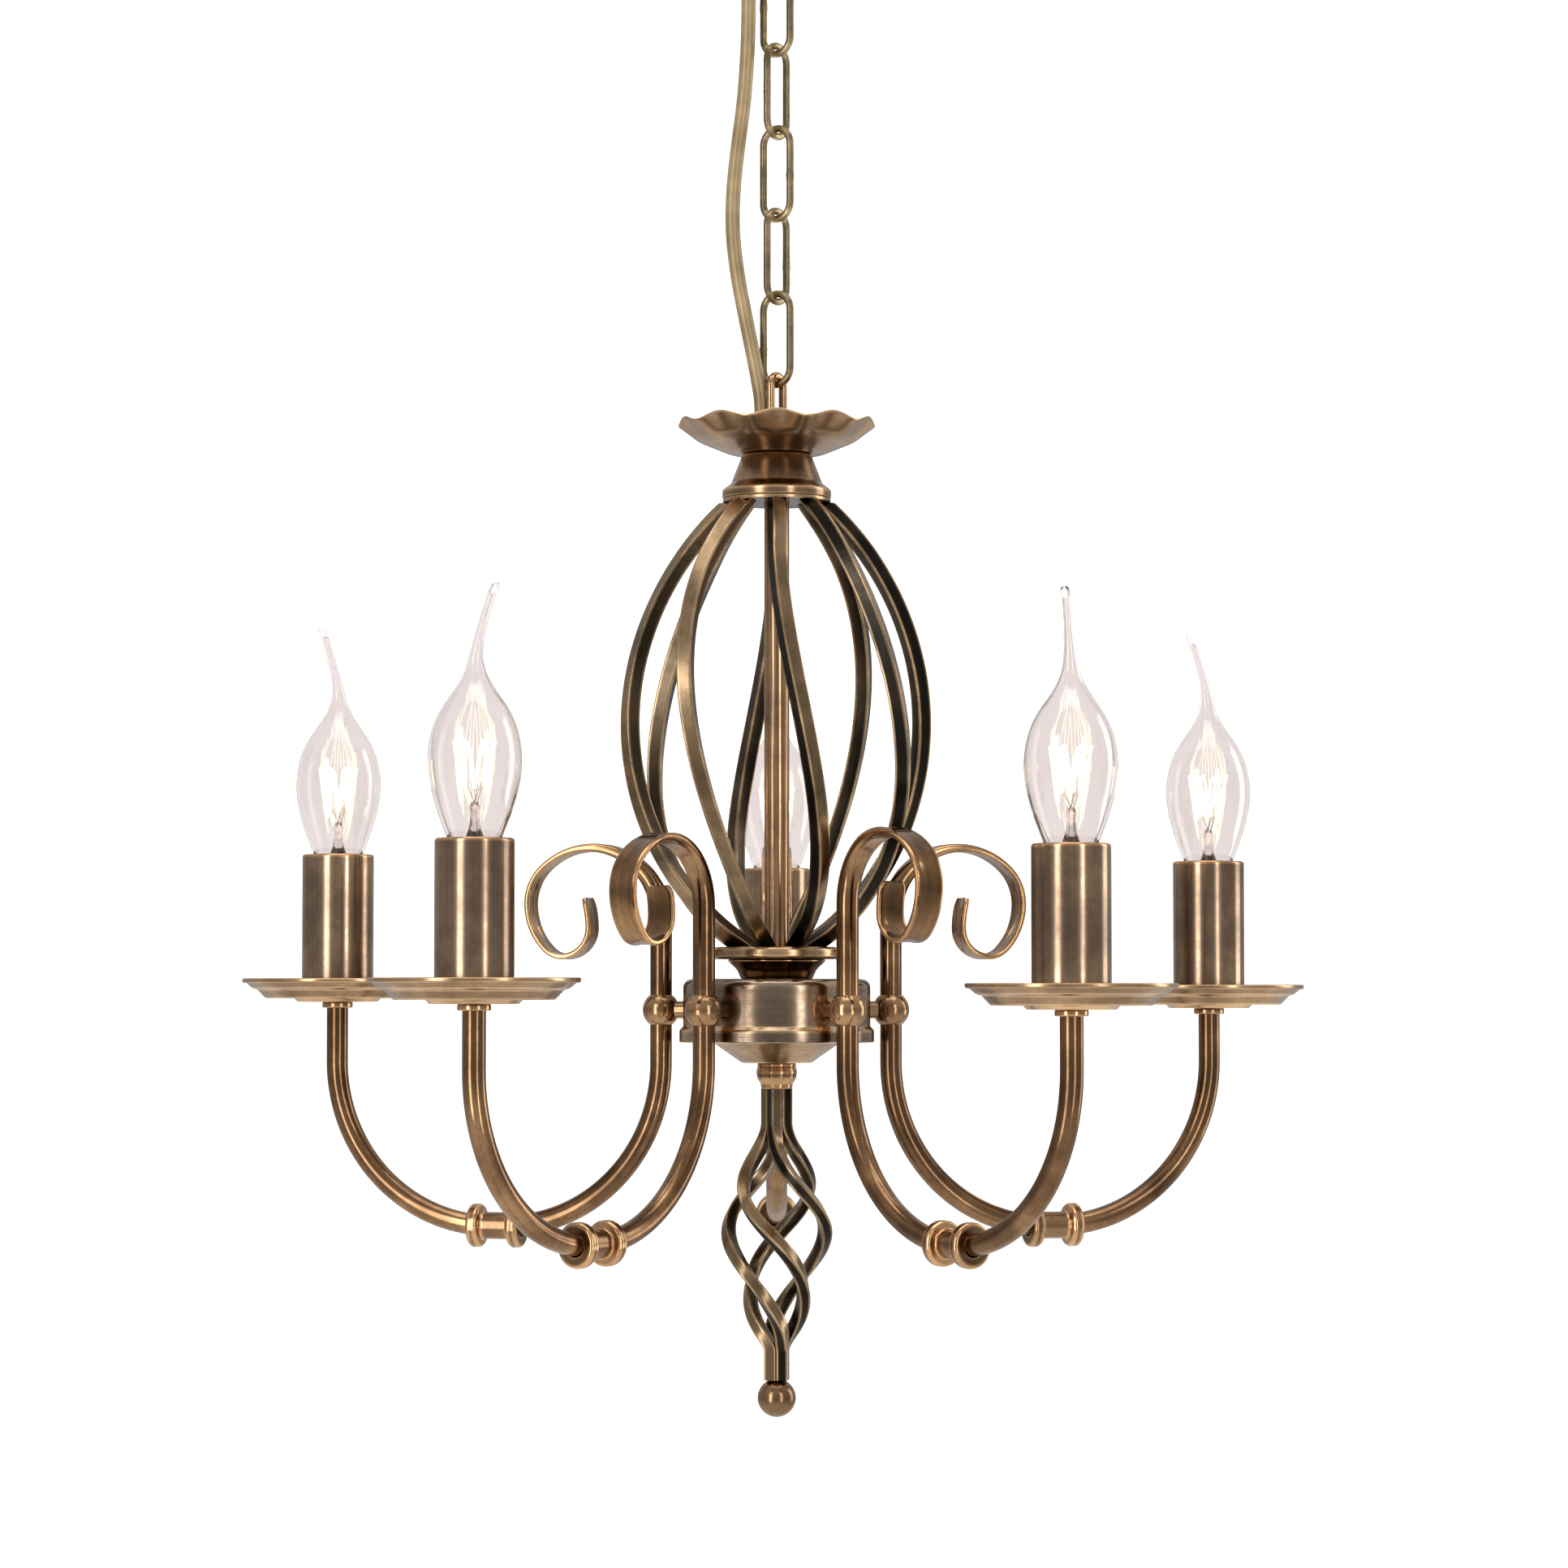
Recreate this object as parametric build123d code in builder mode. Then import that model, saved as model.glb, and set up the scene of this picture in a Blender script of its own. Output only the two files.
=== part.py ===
from build123d import *

import os
from math import cos, pi, radians, sin, tan

# Five-arm candle chandelier in antique brass, hanging from a ceiling hook on a load chain.
#
# Frame: millimetres, +Z up, origin on the ceiling at the centre of the mounting strap.
# The body of the chandelier hangs below, and its heights are counted from the rims of the
# drip pans, which lie RIM_Z below the ceiling. Arm 1 points along FIRST_ARM from +X.

os.makedirs("parts", exist_ok=True)

# ---------------------------------------------------------------- driving dimensions

# fits
FIT = 0.05  # radial clearance of a shaft or tube in its own hole
TOUCH = 0.3  # clearance where chain wires hang on each other

# load chain
LINK_COUNT = 6
LINK_LENGTH = 40.6
LINK_WIDTH = 16.5
LINK_WIRE_R = 1.5
LINK_TURN = -36.0  # direction of the lowest link's width, from +X

# ceiling fitting
STRAP_LENGTH = 100.0
STRAP_WIDTH = 24.0
STRAP_T = 2.5
STRAP_EAR_DROP = 16.0
SLOT_SPACING = 70.0
SLOT_LENGTH = 14.0
SLOT_WIDTH = 5.0
HOOK_WIRE_R = 2.25
HOOK_BEND_R = 9.0
HOOK_DROP = 27.0  # ceiling to the centre of the hook's bend
HOOK_OPENING = 100.0  # angle of the bend's open side
NUT_HEIGHT = 4.0
CANOPY_R = 58.0
CANOPY_HEIGHT = 66.0
CANOPY_MOUTH_R = 20.0
CANOPY_WALL = 1.0
CANOPY_SCREW_R = 2.0

# column, from the pan rims
HUB_R = 38.3
HUB_TOP = 2.3
HUB_HEIGHT = 25.9
HUB_WALL = 1.2
HUB_LIP = 1.5  # how far the bottom lip stands out
HUB_LIP_HEIGHT = 6.3
HUB_CORNER = 3.0
CONE_HEIGHT = 8.4
CONE_TOP_R = 26.0
CONE_END_R = 14.0
CUP_HEIGHT = 8.0
CUP_TOP_R = 19.8
CUP_FOOT_R = 14.6
FOOT_T = 5.0
FOOT_R = 26.6
CAGE_HEIGHT = 182.3
CAGE_R = 60.6  # centre line of the bars where the cage is widest
CAGE_TOP_R = 18.0
CAGE_FOOT_R = 13.2
CAGE_WIDEST = 0.5  # share of the height, from the foot
CAGE_BARS = 8
CAGE_BAR = 6.0
CAGE_BAR_ROLL = 24.0  # the square bar is rolled this far from facing outwards
CAGE_TWIST = 29.0
CAGE_STRAIGHT = 0.12  # share of the height, at the top, over which the bars don't turn
PLATE_T = 1.7
PLATE_R = 22.2
BELL_HEIGHT = 18.3
BELL_R = 22.4
BELL_TOP_R = 14.3
BELL_WALL = 1.0
DISH_HEIGHT = 13.6  # to the crests of its rim
DISH_R = 40.5
DISH_WALL = 0.8
DISH_LOBES = 10
DISH_WAVE = 2.4  # from the crests of the rim down to its valleys
LOOP_WIRE_R = 1.75
LOOP_WIDTH = 12.0
LOOP_HEIGHT = 34.1  # bell top to the top of the loop
STEM_R = 5.15
STEM_WALL = 1.1
STEM_HEAD = 8.0  # the stem stands this far above the cage's top plate
STEM_INTO_TULIP = 6.4
SHANK_R = 3.5
TANG_HEIGHT = 4.0
BUSH_WALL = 1.2
BUSH_CLEARANCE = 0.6
NUT_FLATS = 16.0

# basket and finial, below the hub cone
TULIP_HEIGHT = 10.5
TULIP_R = 8.4
BASKET_HEIGHT = 118.2
BASKET_BAR = 4.8
BASKET_BARS = 4
BASKET_PITCH = 5.0  # spacing of the four bars where they lie bundled
BASKET_R = 19.9
BASKET_TWIST = 237.0
BASKET_START = -106.0  # direction of the first bar at the top, counted from the front
BASKET_UPPER_NECK = 14.0
BASKET_LOWER_NECK = 12.0
FINIAL_R = 7.8

# arms
ARM_COUNT = 5
FIRST_ARM = -54.0
ARM_SKEWS = [-1.1, 0.0, 0.0, 2.2, 0.0]  # how far each arm is off its even place, in degrees
TUBE_R = 4.5
TUBE_WALL = 1.0
ARM_REACH = 192.0  # candle axis from the column's axis
ARM_DROP = 100.0  # pan rims down to the tube's centre line at the bottom of the U
ARM_BEND_R = 68.0
BALL_R = 7.6
BALL_Z = -10.4
NECK_LENGTH = 3.6
NECK_R = 3.6
STUD_R = 2.9
STUD_LENGTH = 8.0
# the scrolls are bent by hand: height where each arm's tube starts to curl, and size of its scroll
SCROLL_STARTS = [32.2, 27.0, 28.0, 27.0, 30.8]
SCROLL_SIZES = [0.96, 1.0, 1.0, 1.0, 0.93]
SCROLL_BENDS = [(29.5, 90), (30.0, 45), (20.0, 45), (27.0, 45), (10.0, 45), (11.7, 90), (40.0, 18)]
STRIP_WIDTH = 13.0
STRIP_T = 3.0
FLATTENED_BY = 0.45  # share of the scroll's length over which the tube flattens
KNUCKLE_LENGTH = 22.4
KNUCKLE_R = 9.0
KNUCKLE_WAIST_R = 5.6
KNUCKLE_RING = 5.0
WIRE_R = 1.7

# candles
CANDLE_LIFTS = [0.6, 0.0, 0.6, 2.7, 2.7]  # how far each arm's pan and candle sit higher on the tube
PAN_R = 40.0
PAN_DEPTH = 10.0
PAN_WALL = 0.8
PAN_FOOT_R = 16.6
COLLAR_R = 6.4
COLLAR_T = 2.5
HOLDER_R = 12.0
HOLDER_TOP = 42.0
TUBE_INTO_HOLDER = 6.6
CAP_R = 6.9
CAP_LENGTH = 24.0
CAP_CLEARANCE = 0.4
SLEEVE_R = 15.0
SLEEVE_WALL = 1.0
SLEEVE_TOP = 52.0
SLEEVE_GAP = 0.1  # under the sleeve, where it stands in the pan
BULB_R = 17.7
BULB_NECK_R = 10.35
BULB_WIDEST = 28.8  # above the sleeve's top
BULB_LENGTH = 96.0  # sleeve's top to the tip
BULB_TAIL_R = 2.4
BULB_TIP_R = 1.7
BULB_WALL = 0.8
BULB_SEAT = 8.0  # sleeve's top down to the cap
TAIL_START = 0.66  # share of the length where the bent tail begins
TAIL_BEND = 8.0  # how far the bent tip leans aside
TAIL_DIRECTIONS = [250.0, 170.0, 200.0, 175.0, 5.0]  # where each lamp's tip leans, from +X

# flex
FLEX_R = 3.0

# sections along the lofted shapes
CAGE_STATIONS = 16
BASKET_STATIONS = 24
SCROLL_STATIONS = 20
BULB_STATIONS = 22

# ---------------------------------------------------------------- derived places

LINK_PITCH = LINK_LENGTH - 4 * LINK_WIRE_R - TOUCH
ARM_ROOT = HUB_R + NECK_LENGTH + BALL_R  # axis of the tube where it passes the ball
CUP_TOP = HUB_TOP + CUP_HEIGHT
CAGE_FOOT = CUP_TOP + FOOT_T
CAGE_TOP = CAGE_FOOT + CAGE_HEIGHT
BELL_FOOT = CAGE_TOP + PLATE_T
BELL_TOP = BELL_FOOT + BELL_HEIGHT
LOOP_TOP = BELL_TOP + LOOP_HEIGHT
HUB_FOOT = HUB_TOP - HUB_HEIGHT
CONE_FOOT = HUB_FOOT - CONE_HEIGHT
BASKET_TOP = CONE_FOOT - TULIP_HEIGHT
BASKET_FOOT = BASKET_TOP - BASKET_HEIGHT
PAN_FLOOR = PAN_WALL - PAN_DEPTH
TUBE_TOP = PAN_FLOOR + TUBE_INTO_HOLDER
STEM_FOOT = CONE_FOOT - STEM_INTO_TULIP
EAR_X = STRAP_LENGTH / 2 - STRAP_WIDTH / 4
CANOPY_SCREW_Z = STRAP_WIDTH / 4 - STRAP_T - STRAP_EAR_DROP
KNUCKLE_SPREAD = (KNUCKLE_LENGTH - KNUCKLE_RING) / 2

# the hook holds the top link, which holds the next, down to the loop on the body
HOOK_TURN = LINK_TURN + 90 * LINK_COUNT
HOOK_BAR_TOP = -HOOK_DROP - HOOK_BEND_R + HOOK_WIRE_R
TOP_LINK_TOP = HOOK_BAR_TOP + TOUCH + 2 * LINK_WIRE_R
CHAIN_FOOT = TOP_LINK_TOP - LINK_LENGTH - (LINK_COUNT - 1) * LINK_PITCH
RIM_Z = CHAIN_FOOT + 2 * LINK_WIRE_R + TOUCH + 2 * LOOP_WIRE_R - LOOP_TOP

# the flex's route, with heights above the pan rims, from inside the bell to inside the canopy
FLEX_ROUTE = [
    (-8.8, 1.4, 209.0),
    (-7.2, 1.0, 223.0),
    (-5.8, 0.3, 237.5),
    (-8.5, -0.7, 252.8),
    (-12.4, -1.6, 271.7),
    (-16.2, -2.2, 291.0),
    (-18.4, -2.5, 310.0),
    (-17.9, -2.7, 328.0),
    (-15.8, -2.6, 346.4),
    (-13.4, -2.4, 364.0),
    (-11.9, -2.3, 386.0),
    (-11.5, -2.4, 410.0),
    (-12.4, -2.6, 434.0),
    (-17.0, -2.8, 454.0),
]

SECTION = Plane(origin=(0, 0, RIM_Z), x_dir=(1, 0, 0), z_dir=(0, -1, 0))
CANDLE_SECTION = Plane(origin=(ARM_REACH, 0, RIM_Z), x_dir=(1, 0, 0), z_dir=(0, -1, 0))
CANDLE_AXIS = Axis((ARM_REACH, 0, 0), (0, 0, 1))


def level(height):
    """Horizontal plane at a height above the pan rims."""
    return Plane.XY.offset(RIM_Z + height)


def write(shape, name):
    shape.label = name
    export_step(shape, f"parts/{name}.step")


LEVEL = [0.0] * ARM_COUNT


def write_arm_copies(part, name, lifts):
    """One file per arm: the shape made along +X, turned to each arm's direction and lifted."""
    for number, lift in enumerate(lifts, 1):
        write(Pos(0, 0, lift) * Rot(0, 0, arm_direction(number)) * part, f"{name}_{number}")


def write_arm_group(part, name, lifts):
    """The same small piece on every arm, as separate solids in one file."""
    copies = [Pos(0, 0, lift) * Rot(0, 0, arm_direction(n)) * part for n, lift in enumerate(lifts, 1)]
    write(Compound(children=[copy.solid() for copy in copies]), name)


def arm_direction(number):
    return FIRST_ARM + 360.0 / ARM_COUNT * (number - 1) + ARM_SKEWS[number - 1]


# ---------------------------------------------------------------- shared shapes


def spun_shell(corners, bends, wall, plane=SECTION, axis=Axis.Z):
    """Sheet metal spun to shape: a strip of even thickness along the corners, turned about an axis."""
    with BuildPart() as shell:
        with BuildSketch(plane):
            with BuildLine():
                FilletPolyline(*corners, radius=bends)
            trace(line_width=wall)
        revolve(axis=axis)
    return shell.part


def turned(corners, plane=SECTION, axis=Axis.Z):
    """Solid turned on a lathe: a closed outline through the corners, turned about an axis."""
    with BuildPart() as solid:
        with BuildSketch(plane):
            with BuildLine():
                Polyline(*corners, close=True)
            make_face()
        revolve(axis=axis)
    return solid.part


def hex_nut(flats, bore, height, foot):
    with BuildPart() as nut:
        with BuildSketch(foot):
            RegularPolygon(flats / 2, 6, major_radius=False)
            Circle(bore, mode=Mode.SUBTRACT)
        extrude(amount=height)
    return nut.part


def upright_plane(turn, height=0.0):
    """Vertical plane through the column's axis, its x direction turned from +X."""
    across = (cos(radians(turn)), sin(radians(turn)), 0)
    facing = (sin(radians(turn)), -cos(radians(turn)), 0)
    return Plane(origin=(0, 0, height), x_dir=across, z_dir=facing)


def round_bar(plane, corners, bends, radius):
    """Round bar or wire bent along the corners."""
    with BuildPart() as bar:
        with BuildLine(plane) as centre:
            FilletPolyline(*corners, radius=bends)
        with BuildSketch(Plane(centre.line @ 0, z_dir=centre.line % 0)):
            Circle(radius)
        sweep(path=centre.line)
    return bar.part


def square_bar(points, side, roll):
    """Square bar lofted through sections at the points, with level ends.

    Each section is rolled by the same angle from facing away from the column.
    """
    with BuildPart() as bar:
        for index, here in enumerate(points):
            before = points[max(index - 1, 0)]
            after = points[min(index + 1, len(points) - 1)]
            along = (after - before).normalized()
            if index in (0, len(points) - 1):
                along = Vector(0, 0, -1)
            outward = Vector(here.X, here.Y, 0).rotate(Axis.Z, roll)
            square_on = outward - along * outward.dot(along)
            with BuildSketch(Plane(here, x_dir=square_on, z_dir=along)):
                Rectangle(side, side)
        loft()
    return bar.part


# ---------------------------------------------------------------- ceiling fitting

with BuildPart() as strap:
    with BuildSketch(Plane.XY):
        SlotOverall(STRAP_LENGTH, STRAP_WIDTH)
        with Locations((-SLOT_SPACING / 2, 0), (SLOT_SPACING / 2, 0)):
            SlotOverall(SLOT_LENGTH, SLOT_WIDTH, mode=Mode.SUBTRACT)
        Circle(HOOK_WIRE_R + FIT, mode=Mode.SUBTRACT)
    extrude(amount=-STRAP_T)
    with BuildSketch(Plane.XY.offset(-STRAP_T)):
        with Locations((-EAR_X, 0), (EAR_X, 0)):
            Rectangle(STRAP_T, STRAP_WIDTH / 2)
    extrude(amount=-STRAP_EAR_DROP)
    with BuildSketch(Plane.YZ):
        with Locations((0, CANOPY_SCREW_Z)):
            Circle(CANOPY_SCREW_R + FIT)
    extrude(amount=STRAP_LENGTH / 2, both=True, mode=Mode.SUBTRACT)
write(strap.part, "ceiling_strap")

# The hook's bend is centred under its shank: a quarter turn to one side leads into it.
with BuildPart() as hook:
    with BuildLine(upright_plane(HOOK_TURN)) as hook_line:
        shank = Line((0, -FIT), (0, 2 * HOOK_BEND_R * sin(radians(60)) - HOOK_DROP))
        lead_in = JernArc(shank @ 1, shank % 1, HOOK_BEND_R, -60)
        JernArc(lead_in @ 1, lead_in % 1, HOOK_BEND_R, 60 + 300 - HOOK_OPENING)
    with BuildSketch(Plane(hook_line.line @ 0, z_dir=hook_line.line % 0)):
        Circle(HOOK_WIRE_R)
    sweep(path=hook_line.line)
write(hook.part, "ceiling_hook")
write(hex_nut(NUT_FLATS / 2, HOOK_WIRE_R + FIT, -NUT_HEIGHT, Plane.XY.offset(-STRAP_T)), "hook_nut")

canopy_rim = CANOPY_R - CANOPY_WALL / 2
canopy_neck = CANOPY_MOUTH_R + CANOPY_WALL / 2
canopy_profile = [
    (canopy_rim, 0),
    (canopy_rim, -CANOPY_HEIGHT * 0.5),
    (canopy_neck + (canopy_rim - canopy_neck) * 0.35, -CANOPY_HEIGHT * 0.86),
    (canopy_neck, -CANOPY_HEIGHT * 0.9),
    (canopy_neck, -CANOPY_HEIGHT),
]
with BuildPart() as canopy:
    add(spun_shell(canopy_profile, [26.0, 8.0, 3.0], CANOPY_WALL, Plane.XZ))
    with BuildSketch(Plane.YZ):
        with Locations((0, CANOPY_SCREW_Z)):
            Circle(CANOPY_SCREW_R + FIT)
    extrude(amount=CANOPY_R + 1, both=True, mode=Mode.SUBTRACT)
write(canopy.part, "canopy")

with BuildPart() as canopy_screws:
    with BuildSketch(Plane.YZ.offset(EAR_X - STRAP_T)):
        with Locations((0, CANOPY_SCREW_Z)):
            Circle(CANOPY_SCREW_R)
    extrude(amount=CANOPY_R + FIT - EAR_X + STRAP_T)
    with BuildSketch(Plane.YZ.offset(CANOPY_R + FIT)):
        with Locations((0, CANOPY_SCREW_Z)):
            Circle(2 * CANOPY_SCREW_R)
    extrude(amount=CANOPY_SCREW_R)
    mirror(about=Plane.YZ)
write(canopy_screws.part, "canopy_screws")

with BuildPart() as terminal_block:
    with BuildSketch(Plane.XY.offset(-STRAP_T)):
        with Locations((-0.6 * EAR_X, 0)):
            Rectangle(9, 18)
    extrude(amount=-9)
    with BuildSketch(Plane.XY.offset(-STRAP_T - 9)):
        with Locations((-0.6 * EAR_X, 0)):
            with GridLocations(1, 6, 1, 3):
                Circle(1.6)
    extrude(amount=6, mode=Mode.SUBTRACT)
write(terminal_block.part, "terminal_block")

# ---------------------------------------------------------------- load chain

bend_r = LINK_WIDTH / 2 - LINK_WIRE_R
bend_drop = LINK_WIRE_R + bend_r
for number in range(1, LINK_COUNT + 1):
    link_top = TOP_LINK_TOP - (number - 1) * LINK_PITCH
    with BuildPart() as link:
        with BuildLine(upright_plane(LINK_TURN + 90 * (LINK_COUNT - number), link_top)) as link_line:
            side = Line((bend_r, bend_drop - LINK_LENGTH), (bend_r, -bend_drop))
            JernArc(side @ 1, side % 1, bend_r, 180)
            other_side = Line((-bend_r, -bend_drop), (-bend_r, bend_drop - LINK_LENGTH))
            JernArc(other_side @ 1, other_side % 1, bend_r, 180)
        with BuildSketch(Plane(side @ 0, z_dir=side % 0)):
            Circle(LINK_WIRE_R)
        sweep(path=link_line.line)
    write(link.part, f"chain_link_{number}")

# ---------------------------------------------------------------- flex

flex_points = [Vector(x, y, RIM_Z + height) for x, y, height in FLEX_ROUTE]
flex_runs = [after - before for before, after in zip(flex_points, flex_points[1:])]
flex_radii = [
    0.45 * min(run.length, onward.length) / tan(radians(run.get_angle(onward)) / 2)
    for run, onward in zip(flex_runs, flex_runs[1:])
]
flex = round_bar(Plane.XY, flex_points, flex_radii, FLEX_R)
flex_path = FilletPolyline(*flex_points, radius=flex_radii)
print("flex radii", [round(radius) for radius in flex_radii])
print("flex length", round(flex_path.length, 1))
print("flex volume over section times length", round(flex.volume / (pi * FLEX_R**2 * flex_path.length), 4))
write(flex, "flex_cable")

# ---------------------------------------------------------------- top of the column

# the flex passes the bell's top on its first run
flex_rise = (RIM_Z + BELL_TOP - flex_points[0].Z) / flex_runs[0].Z
flex_hole = flex_points[0] + flex_runs[0] * flex_rise
flex_place = (flex_hole.X, flex_hole.Y)

# The loop: a bent wire on a flat tang, with a threaded shank into the stem.
loop_turn = LINK_TURN + 90
loop_half = LOOP_WIDTH / 2 - LOOP_WIRE_R
loop_foot = BELL_TOP + DISH_WALL + FIT
with BuildPart() as top_loop:
    add(
        round_bar(
            upright_plane(loop_turn, RIM_Z),
            [
                (-loop_half, loop_foot + TANG_HEIGHT / 2),
                (-loop_half, LOOP_TOP - LOOP_WIRE_R),
                (loop_half, LOOP_TOP - LOOP_WIRE_R),
                (loop_half, loop_foot + TANG_HEIGHT / 2),
            ],
            loop_half - 0.2,
            LOOP_WIRE_R,
        )
    )
    with BuildSketch(level(loop_foot)):
        with Locations(Location((0, 0), loop_turn)):
            SlotOverall(LOOP_WIDTH + 1, 2 * LOOP_WIRE_R + 1)
    extrude(amount=TANG_HEIGHT)
    with BuildSketch(level(BELL_FOOT + FIT)):
        Circle(SHANK_R)
    extrude(amount=loop_foot - BELL_FOOT + TANG_HEIGHT / 2)
write(top_loop.part, "top_loop")

# The dish: a thin bowl whose rim is cut in waves.
dish_floor = BELL_TOP + DISH_WALL / 2
dish_profile = [
    (SHANK_R + FIT, dish_floor),
    (DISH_R * 0.467, dish_floor),
    (DISH_R * 0.778, dish_floor + DISH_HEIGHT * 0.38),
    (DISH_R - DISH_WALL / 2, dish_floor + DISH_HEIGHT),
]
with BuildPart() as top_dish:
    add(spun_shell(dish_profile, [12.0, 16.0], DISH_WALL))
    with BuildSketch(level(dish_floor)):
        with Locations(flex_place):
            Circle(FLEX_R + BUSH_WALL + FIT)
    extrude(amount=2 * DISH_WALL, both=True, mode=Mode.SUBTRACT)
    wave_r = (pi * DISH_R / DISH_LOBES) ** 2 / (2 * DISH_WAVE)
    for lobe in range(DISH_LOBES):
        wave_plane = Plane.YZ.rotated((0, 0, 360 / DISH_LOBES * (lobe + 0.5)))
        wave_z = RIM_Z + dish_floor + DISH_HEIGHT - DISH_WAVE + wave_r
        with BuildSketch(wave_plane):
            with Locations((0, wave_z)):
                Circle(wave_r)
        extrude(amount=DISH_R + 5, mode=Mode.SUBTRACT)
write(top_dish.part, "top_dish")

# The bell is open below, where the cage's top plate closes it.
bell_top = BELL_TOP - BELL_WALL / 2
bell_profile = [
    (SHANK_R + FIT, bell_top),
    (BELL_TOP_R - BELL_WALL / 2, bell_top),
    (BELL_TOP_R + 4.1, BELL_FOOT + 5.9),
    (BELL_R - BELL_WALL / 2, BELL_FOOT + 3.2),
    (BELL_R - BELL_WALL / 2, BELL_FOOT),
]
with BuildPart() as top_bell:
    add(spun_shell(bell_profile, [1.0, 2.0, 1.0], BELL_WALL))
    with BuildSketch(level(bell_top)):
        with Locations(flex_place):
            Circle(FLEX_R + BUSH_WALL + FIT)
    extrude(amount=2 * BELL_WALL, both=True, mode=Mode.SUBTRACT)
write(top_bell.part, "top_bell")

with BuildPart() as flex_bush:
    with BuildSketch(level(BELL_TOP - BELL_WALL)):
        with Locations(flex_place):
            Circle(FLEX_R + BUSH_WALL)
            Circle(FLEX_R + BUSH_CLEARANCE, mode=Mode.SUBTRACT)
    extrude(amount=BELL_WALL + DISH_WALL + FIT)
write(flex_bush.part, "flex_bush")

with BuildPart() as top_plate:
    with BuildSketch(level(CAGE_TOP)):
        Circle(PLATE_R)
        Circle(STEM_R + FIT, mode=Mode.SUBTRACT)
    extrude(amount=PLATE_T)
write(top_plate.part, "cage_top_plate")

with BuildPart() as stem:
    with BuildSketch(level(STEM_FOOT)):
        Circle(STEM_R)
        Circle(STEM_R - STEM_WALL, mode=Mode.SUBTRACT)
    extrude(amount=BELL_FOOT + STEM_HEAD - STEM_FOOT)
write(stem.part, "stem_tube")

upper_nut = hex_nut(NUT_FLATS, STEM_R + FIT, NUT_HEIGHT, level(BELL_FOOT))
lower_nut = hex_nut(NUT_FLATS, STEM_R + FIT, -NUT_HEIGHT, level(HUB_TOP - HUB_WALL))
write(Compound(children=[upper_nut.solid(), lower_nut.solid()]), "stem_nuts")

# ---------------------------------------------------------------- cage


def around_column(radius, height, angle):
    """Point at a radius and height, at an angle from the front towards +X."""
    return Vector(radius * sin(radians(angle)), -radius * cos(radians(angle)), RIM_Z + height)


cage_profile = Spline(
    (CAGE_TOP_R, CAGE_TOP),
    (CAGE_R * 0.685, CAGE_TOP - CAGE_HEIGHT * 0.152),
    (CAGE_R, CAGE_FOOT + CAGE_HEIGHT * CAGE_WIDEST),
    (CAGE_R * 0.72, CAGE_FOOT + CAGE_HEIGHT * 0.152),
    (CAGE_FOOT_R, CAGE_FOOT),
)
cage_bars = []
for number in range(CAGE_BARS):
    bar_points = []
    for step in range(CAGE_STATIONS + 1):
        place = cage_profile @ (step / CAGE_STATIONS)
        fallen = (CAGE_TOP - place.Y) / CAGE_HEIGHT
        turned_share = max((fallen - CAGE_STRAIGHT) / (1 - CAGE_STRAIGHT), 0) ** 1.3
        direction = CAGE_TWIST * turned_share + 360 / CAGE_BARS * number
        bar_points.append(around_column(place.X, place.Y, direction))
    with BuildPart() as cage_bar:
        add(square_bar(bar_points, CAGE_BAR, CAGE_BAR_ROLL))
        split(bisect_by=level(CAGE_FOOT), keep=Keep.TOP)
    cage_bars.append(cage_bar.part)
write(Compound(children=[bar.solid() for bar in cage_bars]), "cage_bars")

with BuildPart() as cage_foot:
    with BuildSketch(level(CUP_TOP)):
        Circle(FOOT_R)
        Circle(STEM_R + FIT, mode=Mode.SUBTRACT)
    extrude(amount=FOOT_T)
    fillet(cage_foot.edges().filter_by(GeomType.CIRCLE).sort_by(SortBy.RADIUS)[-2:], FOOT_T * 0.35)
write(cage_foot.part, "cage_foot")

# ---------------------------------------------------------------- hub

cup_profile = [
    (CUP_FOOT_R - HUB_WALL / 2, HUB_TOP - 1),
    (CUP_FOOT_R + 1.0, HUB_TOP + CUP_HEIGHT * 0.5),
    (CUP_TOP_R, CUP_TOP + 1),
]
with BuildPart() as hub_cup:
    add(spun_shell(cup_profile, [6.0], HUB_WALL))
    split(bisect_by=level(HUB_TOP), keep=Keep.TOP)
    split(bisect_by=level(CUP_TOP), keep=Keep.BOTTOM)
write(hub_cup.part, "hub_cup")

hub_side = HUB_R - HUB_WALL / 2
lip_top = HUB_FOOT + HUB_LIP_HEIGHT
hub_profile = [
    (STEM_R + FIT, HUB_TOP - HUB_WALL / 2),
    (hub_side, HUB_TOP - HUB_WALL / 2),
    (hub_side, lip_top),
    (hub_side + HUB_LIP, lip_top - HUB_LIP),
    (hub_side + HUB_LIP, HUB_FOOT),
]
with BuildPart() as hub_body:
    add(spun_shell(hub_profile, [HUB_CORNER, 0.8, 0.8], HUB_WALL))
    for number in range(1, ARM_COUNT + 1):
        with BuildSketch(upright_plane(arm_direction(number) + 90, RIM_Z)):
            with Locations((0, BALL_Z)):
                Circle(STUD_R + FIT)
        extrude(amount=HUB_R + 1, mode=Mode.SUBTRACT)
write(hub_body.part, "hub_body")

cover_z = HUB_FOOT + HUB_WALL / 2
cover_profile = [
    (hub_side + HUB_LIP - HUB_WALL / 2 - FIT, cover_z),
    (CONE_TOP_R, cover_z),
    (CONE_END_R, CONE_FOOT + HUB_WALL / 2),
    (STEM_R + FIT, CONE_FOOT + HUB_WALL / 2),
]
write(spun_shell(cover_profile, [4.0, 1.5], HUB_WALL), "hub_cover")

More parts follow.
